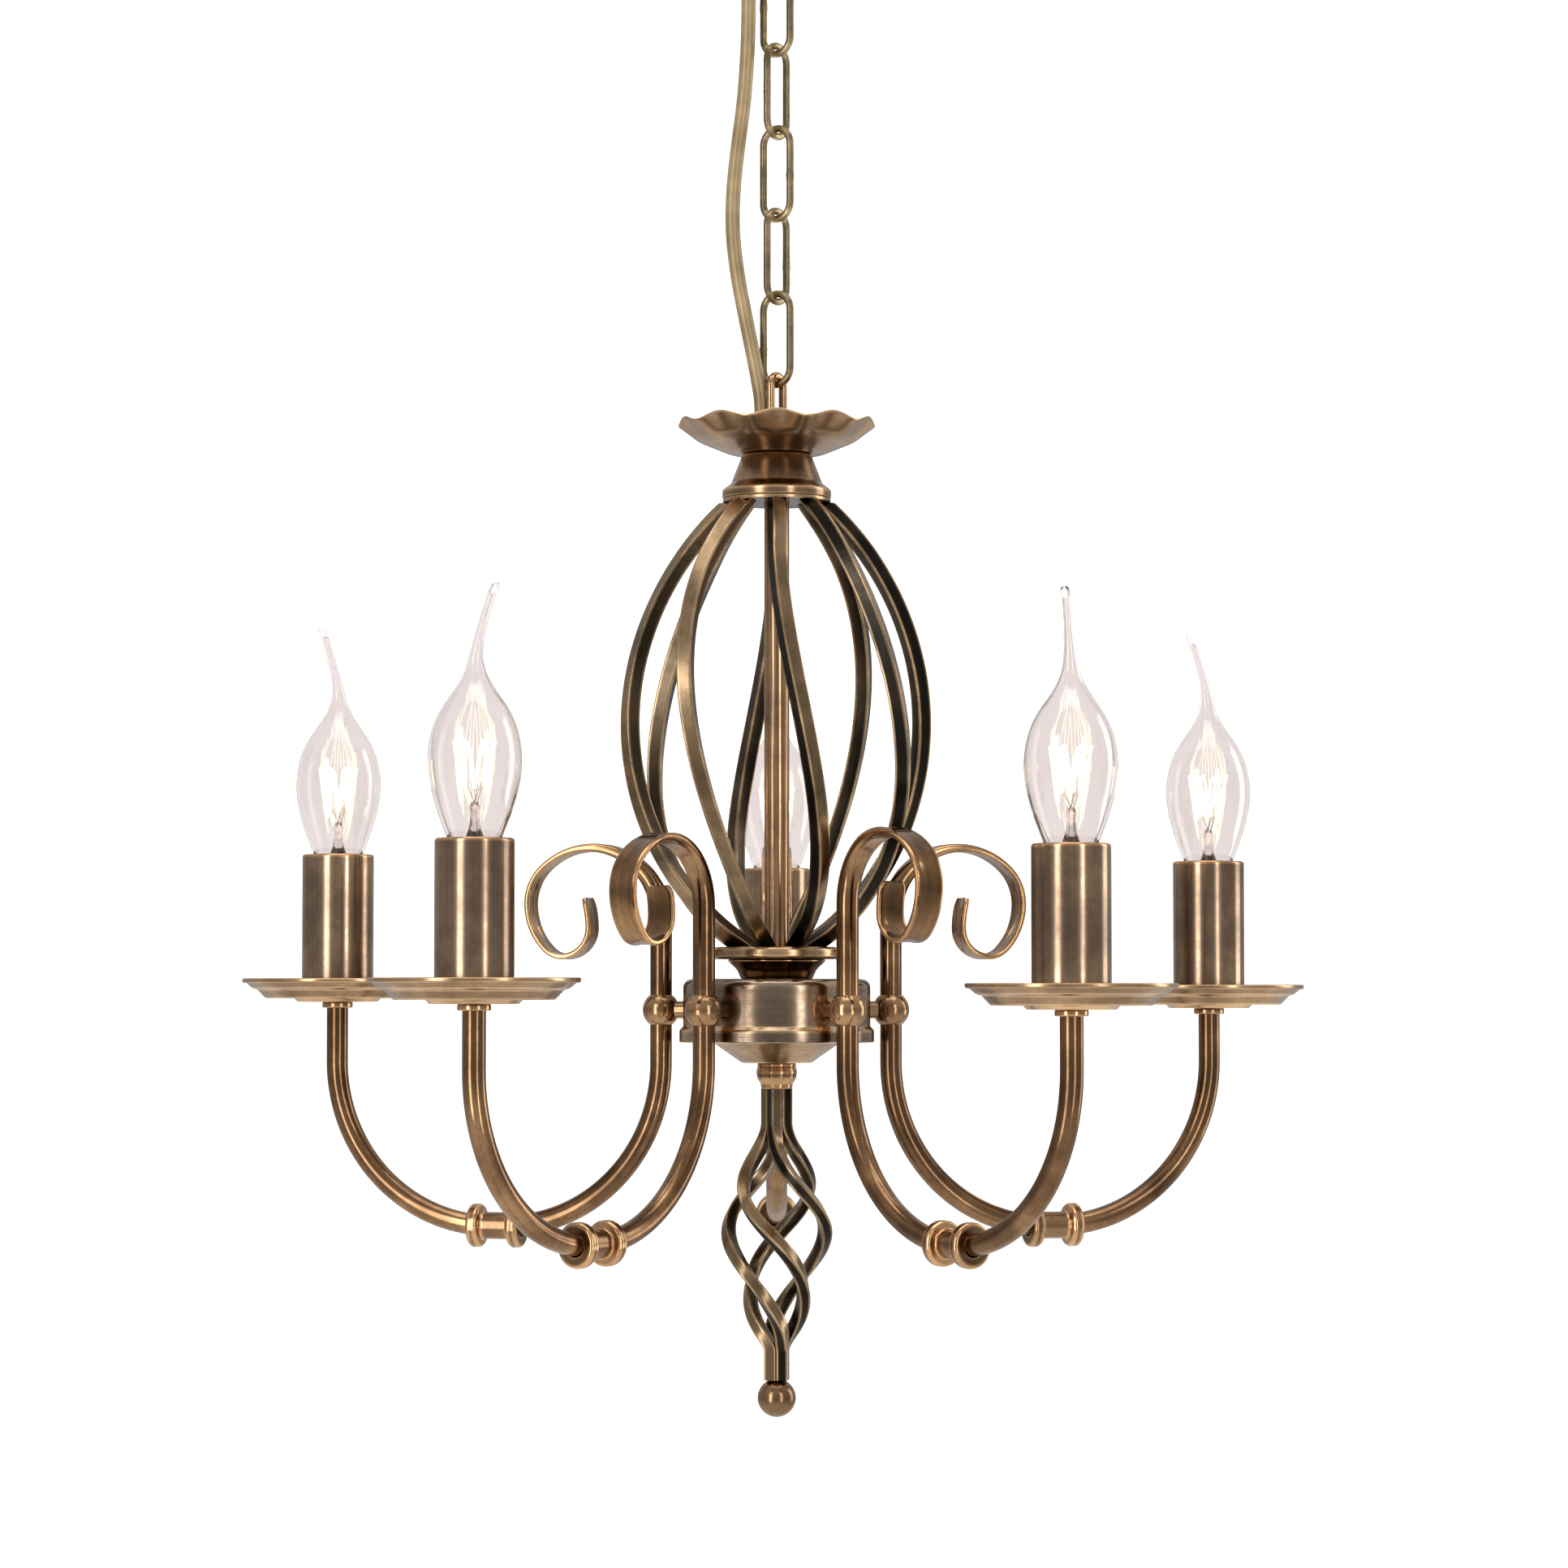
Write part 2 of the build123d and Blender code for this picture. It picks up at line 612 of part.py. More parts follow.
with BuildPart() as hub_connector:
    with BuildSketch(level(HUB_FOOT + HUB_WALL + FIT)):
        with Locations((0, (STEM_R + HUB_R) / 2)):
            Rectangle(24, 11)
    extrude(amount=8)
    with BuildSketch(level(HUB_FOOT + HUB_WALL + FIT + 8)):
        with Locations((0, (STEM_R + HUB_R) / 2)):
            with GridLocations(7, 1, 3, 1):
                Circle(1.8)
    extrude(amount=-5, mode=Mode.SUBTRACT)
write(hub_connector.part, "hub_connector")

tulip_bore = STEM_R + FIT
tulip_foot = CONE_FOOT - TULIP_HEIGHT
tulip_corners = [
    (tulip_bore, CONE_FOOT),
    (TULIP_R * 0.95, CONE_FOOT),
    (TULIP_R * 0.93, CONE_FOOT - 1.2),
    (TULIP_R, CONE_FOOT - 3.6),
    (TULIP_R * 0.94, CONE_FOOT - 6.4),
    (TULIP_R * 0.78, CONE_FOOT - 8.6),
    (TULIP_R * 0.76, tulip_foot),
    (0, tulip_foot),
    (0, STEM_FOOT - FIT),
    (tulip_bore, STEM_FOOT - FIT),
]
write(turned(tulip_corners), "tulip_collar")

# ---------------------------------------------------------------- basket and finial

bundle_r = BASKET_PITCH / 2 * 2**0.5
bulge = BASKET_R - bundle_r
bulge_top = BASKET_TOP - BASKET_UPPER_NECK
bulge_foot = BASKET_FOOT + BASKET_LOWER_NECK
basket_profile = Spline(
    (bundle_r, bulge_top),
    (bundle_r + 0.36 * bulge, BASKET_TOP - 28.5),
    (BASKET_R, BASKET_TOP - 49.0),
    (bundle_r + 0.62 * bulge, BASKET_TOP - 79.0),
    (bundle_r + 0.17 * bulge, BASKET_TOP - 99.0),
    (bundle_r, bulge_foot),
    tangents=[(0, -1), (0, -1)],
)
basket_bars = []
for number in range(BASKET_BARS):
    start = BASKET_START + 360 / BASKET_BARS * number
    bar_points = [
        around_column(bundle_r, BASKET_TOP - BASKET_UPPER_NECK * share, start)
        for share in (0, 0.33, 0.66)
    ]
    for step in range(BASKET_STATIONS + 1):
        place = basket_profile @ (step / BASKET_STATIONS)
        fallen = (bulge_top - place.Y) / (bulge_top - bulge_foot)
        direction = start + BASKET_TWIST * max(fallen, 0) ** 1.2
        bar_points.append(around_column(place.X, place.Y, direction))
    for share in (0.66, 0.33, 0):
        height = BASKET_FOOT + BASKET_LOWER_NECK * share
        bar_points.append(around_column(bundle_r, height, start + BASKET_TWIST))
    basket_bars.append(square_bar(bar_points, BASKET_BAR, 45))
write(Compound(children=[bar.solid() for bar in basket_bars]), "basket_bars")

finial_z = BASKET_FOOT - FINIAL_R + 0.5
with BuildPart() as finial:
    with BuildSketch(SECTION):
        with Locations((0, finial_z)):
            Circle(FINIAL_R)
        with Locations((0, BASKET_FOOT - 1.0)):
            Rectangle(2 * FINIAL_R * 0.6, 2.0)
        with Locations((-50, finial_z)):
            Rectangle(100, 100, mode=Mode.SUBTRACT)
        with Locations((0, BASKET_FOOT + 5)):
            Rectangle(50, 10, mode=Mode.SUBTRACT)
    revolve(axis=Axis.Z)
write(finial.part, "ball_finial")

# ---------------------------------------------------------------- arms

arm_corners = [
    (ARM_REACH, TUBE_TOP),
    (ARM_REACH, -ARM_DROP),
    (ARM_ROOT, -ARM_DROP),
    (ARM_ROOT, 0),
]
tube_envelope = round_bar(SECTION, arm_corners, ARM_BEND_R, TUBE_R + FIT)


def arm_tube(scroll_start, scroll_size):
    """Tube with a U below; above, it curls outwards and is flattened to a strip."""
    corners = arm_corners[:-1] + [(ARM_ROOT, scroll_start)]
    with BuildPart() as arm:
        add(round_bar(SECTION, corners, ARM_BEND_R, TUBE_R))
        add(round_bar(SECTION, corners, ARM_BEND_R, TUBE_R - TUBE_WALL), mode=Mode.SUBTRACT)
        with BuildSketch(Plane.YZ):
            with Locations((0, RIM_Z + BALL_Z)):
                Circle(WIRE_R + TOUCH)
        extrude(amount=ARM_ROOT, mode=Mode.SUBTRACT)
        with BuildLine(SECTION) as scroll:
            start, heading = (ARM_ROOT, scroll_start), (0, 1)
            for bend_r, bend_turn in SCROLL_BENDS:
                bend = JernArc(start, heading, bend_r * scroll_size, -bend_turn)
                start, heading = bend @ 1, bend % 1
        for step in range(SCROLL_STATIONS + 1):
            share = step / SCROLL_STATIONS
            flattened = min(share / FLATTENED_BY, 1.0)
            eased = flattened * flattened * (3 - 2 * flattened)
            half_width = TUBE_R + (STRIP_WIDTH / 2 - TUBE_R) * eased
            half_thickness = TUBE_R + (STRIP_T / 2 - TUBE_R) * eased
            across = Plane(scroll.line @ share, x_dir=(0, 1, 0), z_dir=scroll.line % share)
            with BuildSketch(across):
                Ellipse(half_width, half_thickness)
        loft()
    return arm.part


for number, (scroll_start, scroll_size) in enumerate(zip(SCROLL_STARTS, SCROLL_SIZES), 1):
    arm = arm_tube(scroll_start, scroll_size)
    write(Rot(0, 0, arm_direction(number)) * arm, f"arm_tube_{number}")

with BuildPart() as arm_ball:
    with Locations((ARM_ROOT, 0, RIM_Z + BALL_Z)):
        Sphere(BALL_R)
    with BuildSketch(Plane.YZ.offset(HUB_R + FIT)):
        with Locations((0, RIM_Z + BALL_Z)):
            Circle(NECK_R)
    extrude(amount=NECK_LENGTH + BALL_R)
    with BuildSketch(Plane.YZ.offset(HUB_R - STUD_LENGTH)):
        with Locations((0, RIM_Z + BALL_Z)):
            Circle(STUD_R)
    extrude(amount=STUD_LENGTH + NECK_LENGTH)
    with BuildSketch(Plane.YZ.offset(HUB_R - STUD_LENGTH)):
        with Locations((0, RIM_Z + BALL_Z)):
            Circle(WIRE_R + FIT)
    extrude(amount=ARM_ROOT - HUB_R + STUD_LENGTH, mode=Mode.SUBTRACT)
    with BuildSketch(level(BALL_Z)):
        with Locations((ARM_ROOT, 0)):
            Circle(TUBE_R + FIT)
    extrude(amount=BALL_R, both=True, mode=Mode.SUBTRACT)
write_arm_group(arm_ball.part, "arm_balls", LEVEL)

with BuildPart() as arm_nut:
    with BuildSketch(Plane.YZ.offset(HUB_R - HUB_WALL - 1.2)):
        with Locations((0, RIM_Z + BALL_Z)):
            RegularPolygon(STUD_R * 1.7, 6, major_radius=False)
            Circle(STUD_R + FIT, mode=Mode.SUBTRACT)
    extrude(amount=-NUT_HEIGHT)
write_arm_group(arm_nut.part, "arm_nuts", LEVEL)

with BuildPart() as knuckle:
    with BuildSketch(SECTION):
        with Locations(((ARM_REACH + ARM_ROOT) / 2, -ARM_DROP)):
            Rectangle(KNUCKLE_LENGTH - KNUCKLE_RING, 2 * KNUCKLE_WAIST_R)
            with Locations((-KNUCKLE_SPREAD, 0), (KNUCKLE_SPREAD, 0)):
                SlotOverall(2 * KNUCKLE_R, KNUCKLE_RING, rotation=90)
        with Locations(((ARM_REACH + ARM_ROOT) / 2, -ARM_DROP - 2 * KNUCKLE_R)):
            Rectangle(2 * KNUCKLE_LENGTH, 4 * KNUCKLE_R, mode=Mode.SUBTRACT)
    revolve(axis=Axis((0, 0, RIM_Z - ARM_DROP), (1, 0, 0)))
    add(tube_envelope, mode=Mode.SUBTRACT)
write_arm_group(knuckle.part, "arm_knuckles", LEVEL)

wire_corners = [
    (ARM_REACH, HOLDER_TOP - CAP_LENGTH - 6.0),
    (ARM_REACH, -ARM_DROP),
    (ARM_ROOT, -ARM_DROP),
    (ARM_ROOT, BALL_Z),
    (STEM_R + 8.0, BALL_Z),
]
arm_wire = round_bar(SECTION, wire_corners, [ARM_BEND_R, ARM_BEND_R, 2 * WIRE_R], WIRE_R)
with BuildPart() as stem_wires:
    with BuildSketch(level(STEM_FOOT + 6.0)):
        with PolarLocations(WIRE_R * 0.95, 3):
            Circle(WIRE_R * 0.7)
    extrude(amount=BELL_FOOT - STEM_FOOT - 12.0)
arm_wires = [Rot(0, 0, arm_direction(number)) * arm_wire for number in range(1, ARM_COUNT + 1)]
all_wires = [wire.solid() for wire in arm_wires] + list(stem_wires.part.solids())
write(Compound(children=all_wires), "inner_wires")

# ---------------------------------------------------------------- candles

collar_corners = [
    (TUBE_R + FIT, -PAN_DEPTH),
    (COLLAR_R - 0.6, -PAN_DEPTH),
    (COLLAR_R, -PAN_DEPTH - 0.6),
    (COLLAR_R, -PAN_DEPTH - COLLAR_T + 0.6),
    (COLLAR_R - 0.6, -PAN_DEPTH - COLLAR_T),
    (TUBE_R + FIT, -PAN_DEPTH - COLLAR_T),
]
collar = turned(collar_corners, CANDLE_SECTION, CANDLE_AXIS)
write_arm_group(collar, "pan_collars", CANDLE_LIFTS)

pan_base = PAN_WALL / 2 - PAN_DEPTH
pan_profile = [
    (TUBE_R + FIT, pan_base),
    (PAN_FOOT_R, pan_base),
    (PAN_FOOT_R + 1.4, pan_base + 1.5),
    (PAN_R * 0.75, pan_base + 1.5),
    (PAN_R * 0.835, -PAN_DEPTH * 0.45),
    (PAN_R * 0.89, -PAN_DEPTH * 0.38),
    (PAN_R - PAN_WALL / 2, -PAN_WALL / 2),
]
pan = spun_shell(pan_profile, [0.6, 0.6, 1.2, 0.8, 0.8], PAN_WALL, CANDLE_SECTION, CANDLE_AXIS)
write_arm_copies(pan, "drip_pan", CANDLE_LIFTS)

cap_seat = SLEEVE_TOP - BULB_SEAT - CAP_LENGTH - 2.0
holder_corners = [
    (TUBE_R + FIT, PAN_FLOOR + FIT),
    (HOLDER_R, PAN_FLOOR + FIT),
    (HOLDER_R, HOLDER_TOP),
    (CAP_R + CAP_CLEARANCE, HOLDER_TOP),
    (CAP_R + CAP_CLEARANCE, cap_seat),
    (WIRE_R + TOUCH, cap_seat),
    (WIRE_R + TOUCH, TUBE_TOP + FIT),
    (TUBE_R + FIT, TUBE_TOP + FIT),
]
holder = turned(holder_corners, CANDLE_SECTION, CANDLE_AXIS)
write_arm_group(holder, "lampholders", CANDLE_LIFTS)

with BuildPart() as sleeve:
    with BuildSketch(level(PAN_FLOOR + SLEEVE_GAP)):
        with Locations((ARM_REACH, 0)):
            Circle(SLEEVE_R)
            Circle(SLEEVE_R - SLEEVE_WALL, mode=Mode.SUBTRACT)
    extrude(amount=SLEEVE_TOP - PAN_FLOOR - SLEEVE_GAP)
    top_edges = sleeve.edges().group_by(Axis.Z)[-1]
    fillet(top_edges.sort_by(SortBy.RADIUS)[-1], SLEEVE_WALL * 0.8)
write_arm_copies(sleeve.part, "candle_sleeve", CANDLE_LIFTS)

bulb_foot = SLEEVE_TOP - BULB_SEAT
cap_corners = [
    (0, bulb_foot),
    (CAP_R, bulb_foot),
    (CAP_R, bulb_foot - CAP_LENGTH + 5.0),
    (CAP_R * 0.45, bulb_foot - CAP_LENGTH + 1.5),
    (CAP_R * 0.45, bulb_foot - CAP_LENGTH),
    (0, bulb_foot - CAP_LENGTH),
]
write_arm_copies(turned(cap_corners, CANDLE_SECTION, CANDLE_AXIS), "lamp_cap", CANDLE_LIFTS)

# Clear glass envelopes, blown with a long tip that was bent while soft.
bulb_outline = Spline(
    (CAP_R + 0.4, -BULB_SEAT),
    (BULB_NECK_R, 0),
    (BULB_R, BULB_WIDEST),
    (BULB_R * 0.73, BULB_LENGTH * 0.5),
    (BULB_TAIL_R * 1.9, BULB_LENGTH * 0.64),
    (BULB_TAIL_R, BULB_LENGTH * 0.75),
    (BULB_TIP_R, BULB_LENGTH),
)


def envelope(shrink, last_share, centre, lean):
    """Blown envelope: round sections up the outline, whose centres lean aside above the tail's start."""
    with BuildPart() as blown:
        for step in range(BULB_STATIONS + 1):
            place = bulb_outline @ (last_share * step / BULB_STATIONS)
            risen = max(place.Y / BULB_LENGTH - TAIL_START, 0) / (1 - TAIL_START)
            aside = TAIL_BEND * risen**1.6
            middle = centre + Vector(cos(radians(lean)), sin(radians(lean)), 0) * aside
            with BuildSketch(Plane(middle + Vector(0, 0, RIM_Z + SLEEVE_TOP + place.Y))):
                Circle(place.X - shrink)
        loft()
    return blown.part


for number in range(1, ARM_COUNT + 1):
    toward = radians(arm_direction(number))
    candle_axis = Vector(ARM_REACH * cos(toward), ARM_REACH * sin(toward), CANDLE_LIFTS[number - 1])
    lean = TAIL_DIRECTIONS[number - 1]
    with BuildPart() as glass:
        add(envelope(0, 1.0, candle_axis, lean))
        add(envelope(BULB_WALL, 0.7, candle_axis, lean), mode=Mode.SUBTRACT)
    write(glass.part, f"lamp_glass_{number}")
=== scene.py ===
from math import cos, pi, radians, sin, tan

import bmesh
import bpy
import numpy as np
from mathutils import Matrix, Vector


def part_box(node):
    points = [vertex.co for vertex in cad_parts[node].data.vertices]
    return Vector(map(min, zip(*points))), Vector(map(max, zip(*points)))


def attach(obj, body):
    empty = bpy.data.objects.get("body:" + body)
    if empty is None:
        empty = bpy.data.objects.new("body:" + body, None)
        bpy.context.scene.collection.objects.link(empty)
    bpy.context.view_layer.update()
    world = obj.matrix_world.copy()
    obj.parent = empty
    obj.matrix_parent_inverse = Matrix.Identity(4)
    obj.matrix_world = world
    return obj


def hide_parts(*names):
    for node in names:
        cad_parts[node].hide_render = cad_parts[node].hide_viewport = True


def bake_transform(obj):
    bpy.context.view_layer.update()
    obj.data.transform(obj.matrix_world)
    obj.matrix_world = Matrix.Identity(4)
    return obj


# Five-arm brass chandelier on a load chain, in metres, in the CAD's frame: +Z up, origin on the ceiling.
# Sizes named in millimetres are turned to metres with MM where they are used.

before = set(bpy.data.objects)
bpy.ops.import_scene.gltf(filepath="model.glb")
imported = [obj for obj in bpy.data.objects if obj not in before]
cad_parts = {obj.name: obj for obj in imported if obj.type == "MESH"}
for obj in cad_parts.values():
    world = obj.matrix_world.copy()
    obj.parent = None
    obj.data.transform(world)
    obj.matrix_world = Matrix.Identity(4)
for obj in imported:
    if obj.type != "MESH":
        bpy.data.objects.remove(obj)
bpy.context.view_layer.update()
MM = 0.001


def top(node):
    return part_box(node)[1][2]


def foot(node):
    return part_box(node)[0][2]


RIM = top("drip_pan_2")
LIFTS = [(top(f"drip_pan_{number}") - RIM) / MM for number in range(1, 6)]
CANDLES = [
    [(low + high) / 2 for low, high in zip(*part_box(f"candle_sleeve_{number}"))][:2] for number in range(1, 6)
]
TURNS = [np.arctan2(y, x) for x, y in CANDLES]

# ---------------------------------------------------------------- camera

VIEW_DISTANCE = 1.776
camera_data = bpy.data.cameras.new("camera")
camera_data.sensor_width = 36.0
camera_data.lens = 99.64
camera = bpy.data.objects.new("camera", camera_data)
bpy.context.collection.objects.link(camera)
camera.location = (0.0, -VIEW_DISTANCE, RIM)
camera.rotation_euler = (radians(90 + 2.645), 0.0, radians(-0.096))
bpy.context.scene.camera = camera

# ---------------------------------------------------------------- finishes


def linear(code):
    """sRGB hex to linear colour: below 0.04045 it is divided by 12.92, above it a power of 2.4."""
    parts = [int(code[place : place + 2], 16) / 255 for place in (1, 3, 5)]
    return [part / 12.92 if part <= 0.04045 else ((part + 0.055) / 1.055) ** 2.4 for part in parts] + [1.0]


def add_node(tree, kind, inputs=None, **settings):
    """A node of that kind with its settings; each input is linked if it is given an output, and set otherwise."""
    node = tree.nodes.new(kind)
    for setting, value in settings.items():
        setattr(node, setting, value)
    for socket, value in (inputs or {}).items():
        if isinstance(value, bpy.types.NodeSocket):
            tree.links.new(value, node.inputs[socket])
        else:
            node.inputs[socket].default_value = value
    return node


def finish_of(name, base):
    """A material with one Principled shader whose fixed numbers are set on its own sockets."""
    material = bpy.data.materials.new(name)
    material.use_nodes = True
    tree = material.node_tree
    shader = tree.nodes["Principled BSDF"]
    for socket, value in base.items():
        shader.inputs[socket].default_value = value
    return material, tree, shader


def tone_ramp(tree, fac, stops):
    ramp = add_node(tree, "ShaderNodeValToRGB", {"Fac": fac})
    elements = ramp.color_ramp.elements
    while len(elements) < len(stops):
        elements.new(0.5)
    for element, (place, code) in zip(elements, stops):
        element.position = place
        element.color = linear(code)
    return ramp.outputs["Color"]


def brass(name, tones, wear_and_sheen_tone, roughness, patch_mm=28.0, brushed=None, relief=0.02):
    """Lacquered antique brass.

    Old brass browns in patches some centimetres across, and its lacquer is speckled finely. Where hands
    and polishing reach, along edges, the metal is worn back to a brighter coppery gold; the same tone is
    also painted light: a painted sheen on the whole stem and on the cage bars' outward faces. Brushed pieces
    have fine lines: brushed gives their spacing and their length, in millimetres, and which way they run.
    """
    material, tree, shader = finish_of(name, {"Metallic": 1.0})
    where = add_node(tree, "ShaderNodeTexCoord").outputs["Object"]
    patches = add_node(
        tree, "ShaderNodeTexNoise", {"Vector": where, "Scale": 1000 / patch_mm, "Detail": 5.0, "Roughness": 0.6}
    ).outputs["Fac"]
    speckle = add_node(
        tree, "ShaderNodeTexNoise", {"Vector": where, "Scale": 1000 / 1.8, "Detail": 2.0, "Roughness": 0.5}
    ).outputs["Fac"]
    tone = add_node(
        tree, "ShaderNodeMath", {0: speckle, 1: 0.12, 2: patches}, operation="MULTIPLY_ADD"
    ).outputs[0]
    height = speckle
    if brushed:
        across, length, way = brushed
        place = add_node(tree, "ShaderNodeAttribute", attribute_name="place").outputs["Vector"]
        scale = {"around": (1 / length, 1 / length, 1 / across), "along": (1 / across, 1 / across, 1 / length)}
        stretched = add_node(
            tree, "ShaderNodeMapping", {"Vector": place, "Scale": [1000 * part for part in scale[way]]}
        ).outputs["Vector"]
        lines = add_node(
            tree, "ShaderNodeTexNoise", {"Vector": stretched, "Scale": 1.0, "Detail": 3.0, "Roughness": 0.65}
        ).outputs["Fac"]
        tone = add_node(tree, "ShaderNodeMath", {0: lines, 1: 0.3, 2: tone}, operation="MULTIPLY_ADD").outputs[0]
        tone = add_node(tree, "ShaderNodeMath", {0: tone, 1: 0.15}, operation="SUBTRACT").outputs[0]
        height = lines
    spread = add_node(
        tree, "ShaderNodeMapRange", {"Value": tone, "From Min": 0.22, "From Max": 0.86}
    ).outputs["Result"]
    colour = tone_ramp(tree, spread, tones)
    # The worn attribute carries real wear at edges and rims, and also painted light: painted sheen over the stem
    # and on the cage bars' outward faces.
    edges = add_node(tree, "ShaderNodeAttribute", attribute_name="worn").outputs["Fac"]
    handled = add_node(
        tree, "ShaderNodeMapRange", {"Value": patches, "From Min": 0.3, "From Max": 0.6, "To Min": 0.35}
    ).outputs["Result"]
    wear_and_painted_light = add_node(tree, "ShaderNodeMath", {0: edges, 1: handled}, operation="MULTIPLY").outputs[0]
    # A colour mix takes its two colours on sockets 6 and 7 and gives its result on socket 2.
    mixed = add_node(tree, "ShaderNodeMix", {0: wear_and_painted_light, 6: colour, 7: linear(wear_and_sheen_tone)}, data_type="RGBA")
    tree.links.new(mixed.outputs[2], shader.inputs["Base Color"])
    rough = add_node(
        tree, "ShaderNodeMapRange",
        {"Value": tone, "From Min": 0.35, "From Max": 0.9, "To Min": roughness[1], "To Max": roughness[0]},
    ).outputs["Result"]
    tree.links.new(rough, shader.inputs["Roughness"])
    bump = add_node(
        tree, "ShaderNodeBump", {"Height": height, "Strength": 0.35, "Distance": relief * MM}
    ).outputs["Normal"]
    tree.links.new(bump, shader.inputs["Normal"])
    return material


# Turned and cast pieces: coppery gold where rubbed, brown in the hollows.
TURNED = brass(
    "lacquered_turned_brass", [(0.0, "#382b21"), (0.45, "#745b43"), (1.0, "#b5916b")], "#cda277", (0.13, 0.24)
)
# Spun sheet, brushed round and round on the lathe: fine circles.
SPUN = brass(
    "brushed_spun_brass", [(0.0, "#54412f"), (0.5, "#8f7459"), (1.0, "#c3a27f")], "#d4af84", (0.14, 0.26),
    brushed=(0.5, 30.0, "around"), relief=0.004,
)
# Drawn tube, polished lengthwise: long soft streaks.
DRAWN = brass(
    "polished_drawn_brass", [(0.0, "#51453a"), (0.5, "#8a7460"), (1.0, "#bfa386")], "#c79a70", (0.13, 0.24),
    brushed=(1.1, 60.0, "along"), relief=0.004,
)
# The arms' tube is drawn too, and has gone coppery brown.
COPPERY = brass(
    "coppery_drawn_brass", [(0.0, "#35281e"), (0.5, "#71553d"), (1.0, "#b28d67")], "#cb9f72", (0.12, 0.22),
    brushed=(1.1, 60.0, "along"), relief=0.004,
)
# The hub's drum is paler.
DRUM = brass(
    "pale_spun_brass", [(0.0, "#4c4036"), (0.5, "#8f7c69"), (1.0, "#c6ae93")], "#cfae88", (0.12, 0.22),
    brushed=(0.5, 30.0, "around"), relief=0.004,
)
# Square bar with a dark patina, rubbed golden along its edges.
PATINA = brass(
    "dark_patina_brass", [(0.0, "#161514"), (0.55, "#27241f"), (1.0, "#453b30")], "#c2a27c", (0.16, 0.3),
    patch_mm=20.0, relief=0.03,
)
# Chain wire: olive brown, with dull speckles.
CHAIN = brass(
    "olive_brass_wire", [(0.0, "#37322a"), (0.5, "#665c48"), (1.0, "#98876a")], "#b39e78", (0.24, 0.42),
    patch_mm=9.0,
)


def zinc_steel():
    """Zinc-plated steel: pale grey with the faint crystals of the plating, a few millimetres across."""
    material, tree, shader = finish_of("zinc_plated_steel", {"Metallic": 1.0})
    where = add_node(tree, "ShaderNodeTexCoord").outputs["Object"]
    crystals = add_node(tree, "ShaderNodeTexVoronoi", {"Vector": where, "Scale": 1000 / 3.0}).outputs["Distance"]
    tree.links.new(
        tone_ramp(tree, crystals, [(0.0, "#b9bab8"), (1.0, "#8e908f")]), shader.inputs["Base Color"]
    )
    rough = add_node(tree, "ShaderNodeMapRange", {"Value": crystals, "To Min": 0.3, "To Max": 0.45})
    tree.links.new(rough.outputs["Result"], shader.inputs["Roughness"])
    return material


def moulded_plastic(name, tones, roughness, grain_mm, metallic=0.0):
    """Moulded plastic: even colour with a faint cloudiness, and a fine grain from the mould."""
    material, tree, shader = finish_of(name, {"IOR": 1.5, "Metallic": metallic})
    where = add_node(tree, "ShaderNodeTexCoord").outputs["Object"]
    cloud = add_node(
        tree, "ShaderNodeTexNoise", {"Vector": where, "Scale": 1000 / 14.0, "Detail": 4.0}
    ).outputs["Fac"]
    tree.links.new(tone_ramp(tree, cloud, tones), shader.inputs["Base Color"])
    rough = add_node(
        tree, "ShaderNodeMapRange", {"Value": cloud, "To Min": roughness - 0.06, "To Max": roughness + 0.06}
    )
    tree.links.new(rough.outputs["Result"], shader.inputs["Roughness"])
    grain = add_node(tree, "ShaderNodeTexNoise", {"Vector": where, "Scale": 1000 / grain_mm}).outputs["Fac"]
    bump = add_node(tree, "ShaderNodeBump", {"Height": grain, "Strength": 0.2, "Distance": 0.02 * MM})
    tree.links.new(bump.outputs["Normal"], shader.inputs["Normal"])
    return material


def blown_glass():
    """Slightly grey soda-lime glass, flame worked: faint ripples, millimetres long, bend the reflections."""
    material, tree, shader = finish_of(
        "clear_blown_glass",
        {"Transmission Weight": 1.0, "IOR": 1.5, "Roughness": 0.0, "Base Color": linear("#e4dfdf")},
    )
    where = add_node(tree, "ShaderNodeTexCoord").outputs["Object"]
    ripple = add_node(tree, "ShaderNodeTexNoise", {"Vector": where, "Scale": 1000 / 9.0}).outputs["Fac"]
    bump = add_node(tree, "ShaderNodeBump", {"Height": ripple, "Strength": 0.15, "Distance": 0.1 * MM})
    tree.links.new(bump.outputs["Normal"], shader.inputs["Normal"])
    return material


def glowing_wire():
    """Tungsten wire at full power: warm white, a little uneven along the coil."""
    material, tree, shader = finish_of("glowing_tungsten", {"Emission Strength": 9.0, "Roughness": 0.6})
    where = add_node(tree, "ShaderNodeTexCoord").outputs["Object"]
    uneven = add_node(tree, "ShaderNodeTexNoise", {"Vector": where, "Scale": 1000 / 2.0}).outputs["Fac"]
    glow = tone_ramp(tree, uneven, [(0.0, "#ffd9a0"), (1.0, "#fff0d2")])
    tree.links.new(glow, shader.inputs["Emission Color"])
    tree.links.new(glow, shader.inputs["Base Color"])
    return material


STEEL = zinc_steel()
SHEATH = moulded_plastic("gold_tinted_sheath", [(0.3, "#85724f"), (0.7, "#ad9770")], 0.36, 0.9, metallic=0.3)
INSULATION = moulded_plastic("off_white_insulation", [(0.3, "#cfcabd"), (0.7, "#e2ddd0")], 0.5, 0.7)
GLASS = blown_glass()
GLOW = glowing_wire()

# ---------------------------------------------------------------- shapes


